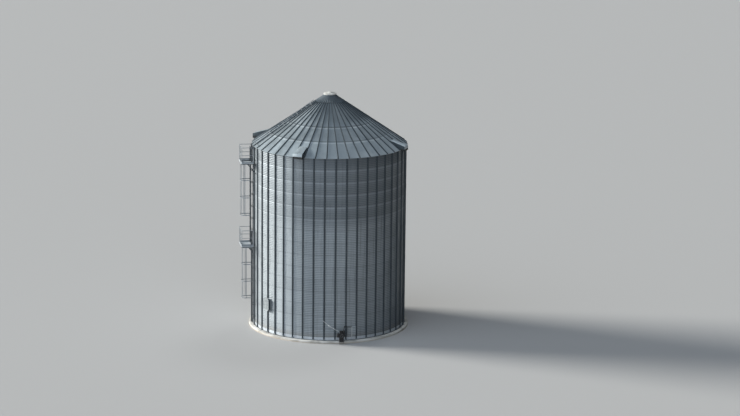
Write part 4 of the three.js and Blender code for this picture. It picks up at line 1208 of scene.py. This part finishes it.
ring_bolts = bmesh.new()
bolt_ring(ring_bolts, 12, 0.133, -tube_start - 0.011, 0.009)
finish_piece("unload_tube_bolts", ring_bolts, [bolt_zinc], turn=unload_turn)

# Unload head: a gearbox in worn black enamel on the tube's end, on a welded stand, with a finned motor
# on top, a belt guard at one side and an adjuster at the other.

black_enamel, grime = mottled("black_enamel", 0.1, 0.5, (7.0, 4.0), 0.35, 0.7,
                              (0.007, 0.007, 0.008), (0.026, 0.025, 0.025))
chips = noise(black_enamel.where, 55.0, 4.0)
black_enamel.paint(ramp(black_enamel.height, 0.2, 0.1, 0.0, 0.85), (0.36, 0.33, 0.29))
black_enamel.paint(ramp(chips, 0.64, 0.74, 0.0, 0.7), (0.16, 0.13, 0.11))
black_enamel.feed("Roughness", ramp(grime, 0.3, 0.7, 0.5, 0.8))
black_enamel.bump(chips, 0.2, 0.001)
black_enamel.done()
bright_metal = zinc_finish("bright_metal", (0.5, 0.52, 0.52), (0.85, 0.86, 0.86), patch=0.06, dirt=0.2).done()

head_back = -tube_start - unload_length - 0.0003
head_front, head_low, head_high = head_back - 0.24, 0.43, 0.77
head = bmesh.new()


def behind(near, far):
    """A depth of the head, from one distance behind its front to another."""
    return (head_front + near, head_front + far)


def drum(ends, radius, sides):
    """A round boss in line with the tube."""
    pipe(head, [(0, y, unload_height) for y in ends], radius, sides=sides)


block(head, (-0.14, 0.14), (head_front + 0.024, head_back - 0.002), (head_low, head_high), 0.03)
for x in (-0.146, 0.146):
    block(head, span(x, 0.008), (head_front + 0.05, head_back - 0.03), (head_low + 0.04, head_high - 0.04),
          0.003)
drum(behind(0.03, 0.012), 0.125, 32)
drum(behind(0.014, 0.004), 0.05, 24)
drum((head_back - 0.012, head_back - 0.0005), 0.15, 32)
stand_y = behind(0.09, 0.14)
stand_z = (0.004, head_low + 0.02)
for side in (-1, 1):
    block(head, span(side * 0.1475, 0.005), stand_y, stand_z, 0.001)
    block(head, span(side * 0.125, 0.05), behind(0.09, 0.095), stand_z, 0.001)
block(head, (-0.124, 0.124), behind(0.093, 0.099), (0.162, stand_z[1]), 0.001)
block(head, (-0.095, 0.095), behind(0.087, 0.094), (0.2, 0.4), 0.003)
block(head, (-0.15, 0.15), stand_y, (0.0005, 0.006), 0.001)
block(head, (-0.15, 0.15), behind(0.1, 0.13), (0.006, 0.028), 0.002)
motor_y, motor_z, motor_half, motor_radius, fins = head_front + 0.092, head_high + 0.094, 0.135, 0.07, 22
for ends, radius, sides in (((-0.095, 0.105), motor_radius, 28), ((-motor_half, -0.092), 0.081, 28),
                            ((0.1, 0.118), 0.079, 28), ((0.118, motor_half + 0.03), 0.014, 12)):
    pipe(head, [(x, motor_y, motor_z) for x in ends], radius, sides=sides)
for fin in range(fins):
    angle = fin * math.tau / fins
    if math.sin(angle) > -0.85:
        one = bmesh.new()
        block(one, (-0.088, 0.098), span(0, 0.003), (motor_radius - 0.004, motor_radius + 0.009))
        join_in(head, one, Matrix.Translation((0, motor_y, motor_z))
                @ Matrix.Rotation(angle - math.pi / 2, 4, "X"))
block(head, (-0.05, 0.05), (motor_y - 0.105, motor_y - 0.062), (motor_z - 0.035, motor_z + 0.04), 0.006)
block(head, (-0.09, 0.09), span(motor_y, 0.12), (head_high - 0.002, motor_z - 0.055), 0.004)
# The belt guard is a flat case round its two wheels: a hull of two circles, drawn out to its depth.
guard = bmesh.new()
for y, z, radius in ((motor_y, motor_z, 0.092), (head_front + 0.12, unload_height + 0.02, 0.118)):
    bmesh.ops.create_circle(guard, segments=24, radius=radius,
                            matrix=Matrix.Translation((0.152, y, z)) @ to_side[1])
bmesh.ops.convex_hull(guard, input=guard.verts)
bmesh.ops.delete(guard, geom=[v for v in guard.verts if not v.link_faces], context="VERTS")
bmesh.ops.dissolve_limit(guard, angle_limit=0.01, verts=guard.verts, edges=guard.edges)
faces = [f for f in guard.faces if f.normal.x > 0.5] or list(guard.faces)
draw_out(guard, faces[:1], (0.062, 0, 0))
bmesh.ops.remove_doubles(guard, verts=guard.verts, dist=0.0002)
bmesh.ops.recalc_face_normals(guard, faces=list(guard.faces))
soften(guard, [e for e in guard.edges if all(v.co.x > 0.2 for v in e.verts)], 0.012, 2)
join_in(head, guard)
block(head, (-0.284, -0.149), behind(0.062, 0.178), (0.482, 0.738), 0.014)
block(head, (-0.292, -0.283), behind(0.08, 0.16), (0.51, 0.71), 0.004)
pipe(head, [(-0.2, motor_y, unload_height + 0.11), (-0.2, motor_y, motor_z - 0.02)], 0.009, sides=8)
block(head, (-0.215, -0.09), span(motor_y, 0.05), (head_high - 0.004, head_high + 0.008), 0.002)
finish_piece("unload_head_body", head, [black_enamel], ["unload_head"], turn=unload_turn)

head_bolts = bmesh.new()
bolt_ring(head_bolts, 8, 0.1, head_front + 0.009, 0.009, 0.008)
for x in (-0.13, 0.13):
    bolt_head(head_bolts, x, stand_y[0] + 0.03, 0.012, 0.012, 0.01, 0.012, upright)
for z in (0.72, 0.7):
    pipe(head_bolts, [(-0.2, motor_y, z), (-0.2, motor_y, z + 0.008)], 0.014, sides=6)
finish_piece("unload_head_bolts", head_bolts, [bright_metal], turn=unload_turn)

# Unload levers: a tube in worn white paint with a thin galvanised rod from its end, and a dark riser
# with an arm. A light bar hangs from the arm's end. All are pinned to the back of the head.

lever_white, worn = mottled("lever_white", 0.0, 0.5, (14.0, 4.0), 0.42, 0.6,
                            (0.32, 0.33, 0.34), (0.82, 0.82, 0.80))
lever_white.bump(worn, 0.2, 0.001)
lever_white.done()
lever_y = head_back - 0.026
white_lever, dark_lever, thin_rod, hanging_bar = bmesh.new(), bmesh.new(), bmesh.new(), bmesh.new()


def rod(bm, points, radius, sides, bend=0.0):
    """A round bar in the plane of the levers."""
    pipe(bm, [(x, lever_y, z) for x, z in points], radius, bend, sides)


rod(white_lever, [(-0.45, 1.0185), (-0.845, 1.28)], 0.026, 16)
rod(thin_rod, [(-0.06, head_high - 0.01), (-0.46, 1.0251)], 0.014, 12)
rod(thin_rod, [(-0.838, 1.2735), (-1.206, 1.606)], 0.011, 10)
rod(thin_rod, [(-1.19, 1.5915), (-1.212, 1.6115)], 0.016, 10)
rod(dark_lever, [(0.09, head_high - 0.02), (0.205, 1.13), (0.24, 1.158), (0.695, 1.14)], 0.019, 12, 0.03)
rod(dark_lever, [(0.2, 1.11), (0.23, 1.21)], 0.038, 14)
rod(dark_lever, [(0.09, head_high - 0.04), (0.09, head_high + 0.02)], 0.03, 12)
rod(hanging_bar, [(0.695, 1.16), (0.695, 0.49)], 0.011, 10)
rod(hanging_bar, [(0.695, 0.52), (0.695, 0.48)], 0.016, 10)
block(dark_lever, (-0.09, 0.1), span(lever_y, 0.03), (head_high - 0.02, head_high - 0.001), 0.003)
for name, lever, made, node in (("white", white_lever, lever_white, ["unload_head"]),
                                ("dark", dark_lever, black_enamel, ["unload_head"]),
                                ("rod", thin_rod, bright_metal, ()), ("bar", hanging_bar, bright_metal, ())):
    finish_piece(f"unload_lever_{name}", lever, [made], node, turn=unload_turn)

# Wall cover: a plate of the same sheet as the wall, with turned out sides and a flat bar across it.
# It is bolted to the rings low at the front, beside the unload head.

cover_turn = stiffener_angle(2.5)
cover_half, cover_low, cover_high, cover_face, cover_edge = 0.3, 0.43, 1.08, 5.0665, 0.04
back_y = (-cover_face + 0.001, -wall_side + 0.012)
cover_bolt_reach, cover_bolt_pitch = 0.25, 0.19
cover = bmesh.new()
chain, edges = strip(cover, [(x, -y, cover_low) for x, y in (
    (-cover_half, cover_face + cover_edge), (-cover_half, cover_face), (cover_half, cover_face),
    (cover_half, cover_face + cover_edge))])
draw_on(cover, edges, (0, 0, cover_high - cover_low))
face_towards(cover, to_the_front)
soften(cover, [e for e in cover.edges if len(e.link_faces) == 2], 0.006, 2)
thicken(cover, 0.003)
for z in ((cover_low, cover_low + 0.003), (cover_high - 0.003, cover_high)):
    block(cover, (-cover_half + 0.002, cover_half - 0.002), back_y, z)
for side in (-1, 1):
    block(cover, span(side * (cover_half - 0.0015), 0.003), back_y, (cover_low, cover_high))
bar_z = span((cover_low + cover_high) / 2, 0.05)
block(cover, (0.03 - cover_half, cover_half - 0.03), (-cover_face - 0.006, -cover_face), bar_z, 0.002)
finish_piece("wall_cover_plate", cover, [wall_zinc], ["wall_cover"], turn=cover_turn)
cover_bolts = bmesh.new()
for side, rows in ((-1, (0, 1, 2, 3)), (0, (0, 3)), (1, (0, 1, 2, 3))):
    for row in rows:
        bolt_head(cover_bolts, side * cover_bolt_reach, -cover_face - 0.004,
                  cover_low + 0.04 + row * cover_bolt_pitch)
finish_piece("wall_cover_bolts", cover_bolts, [bolt_zinc], turn=cover_turn)
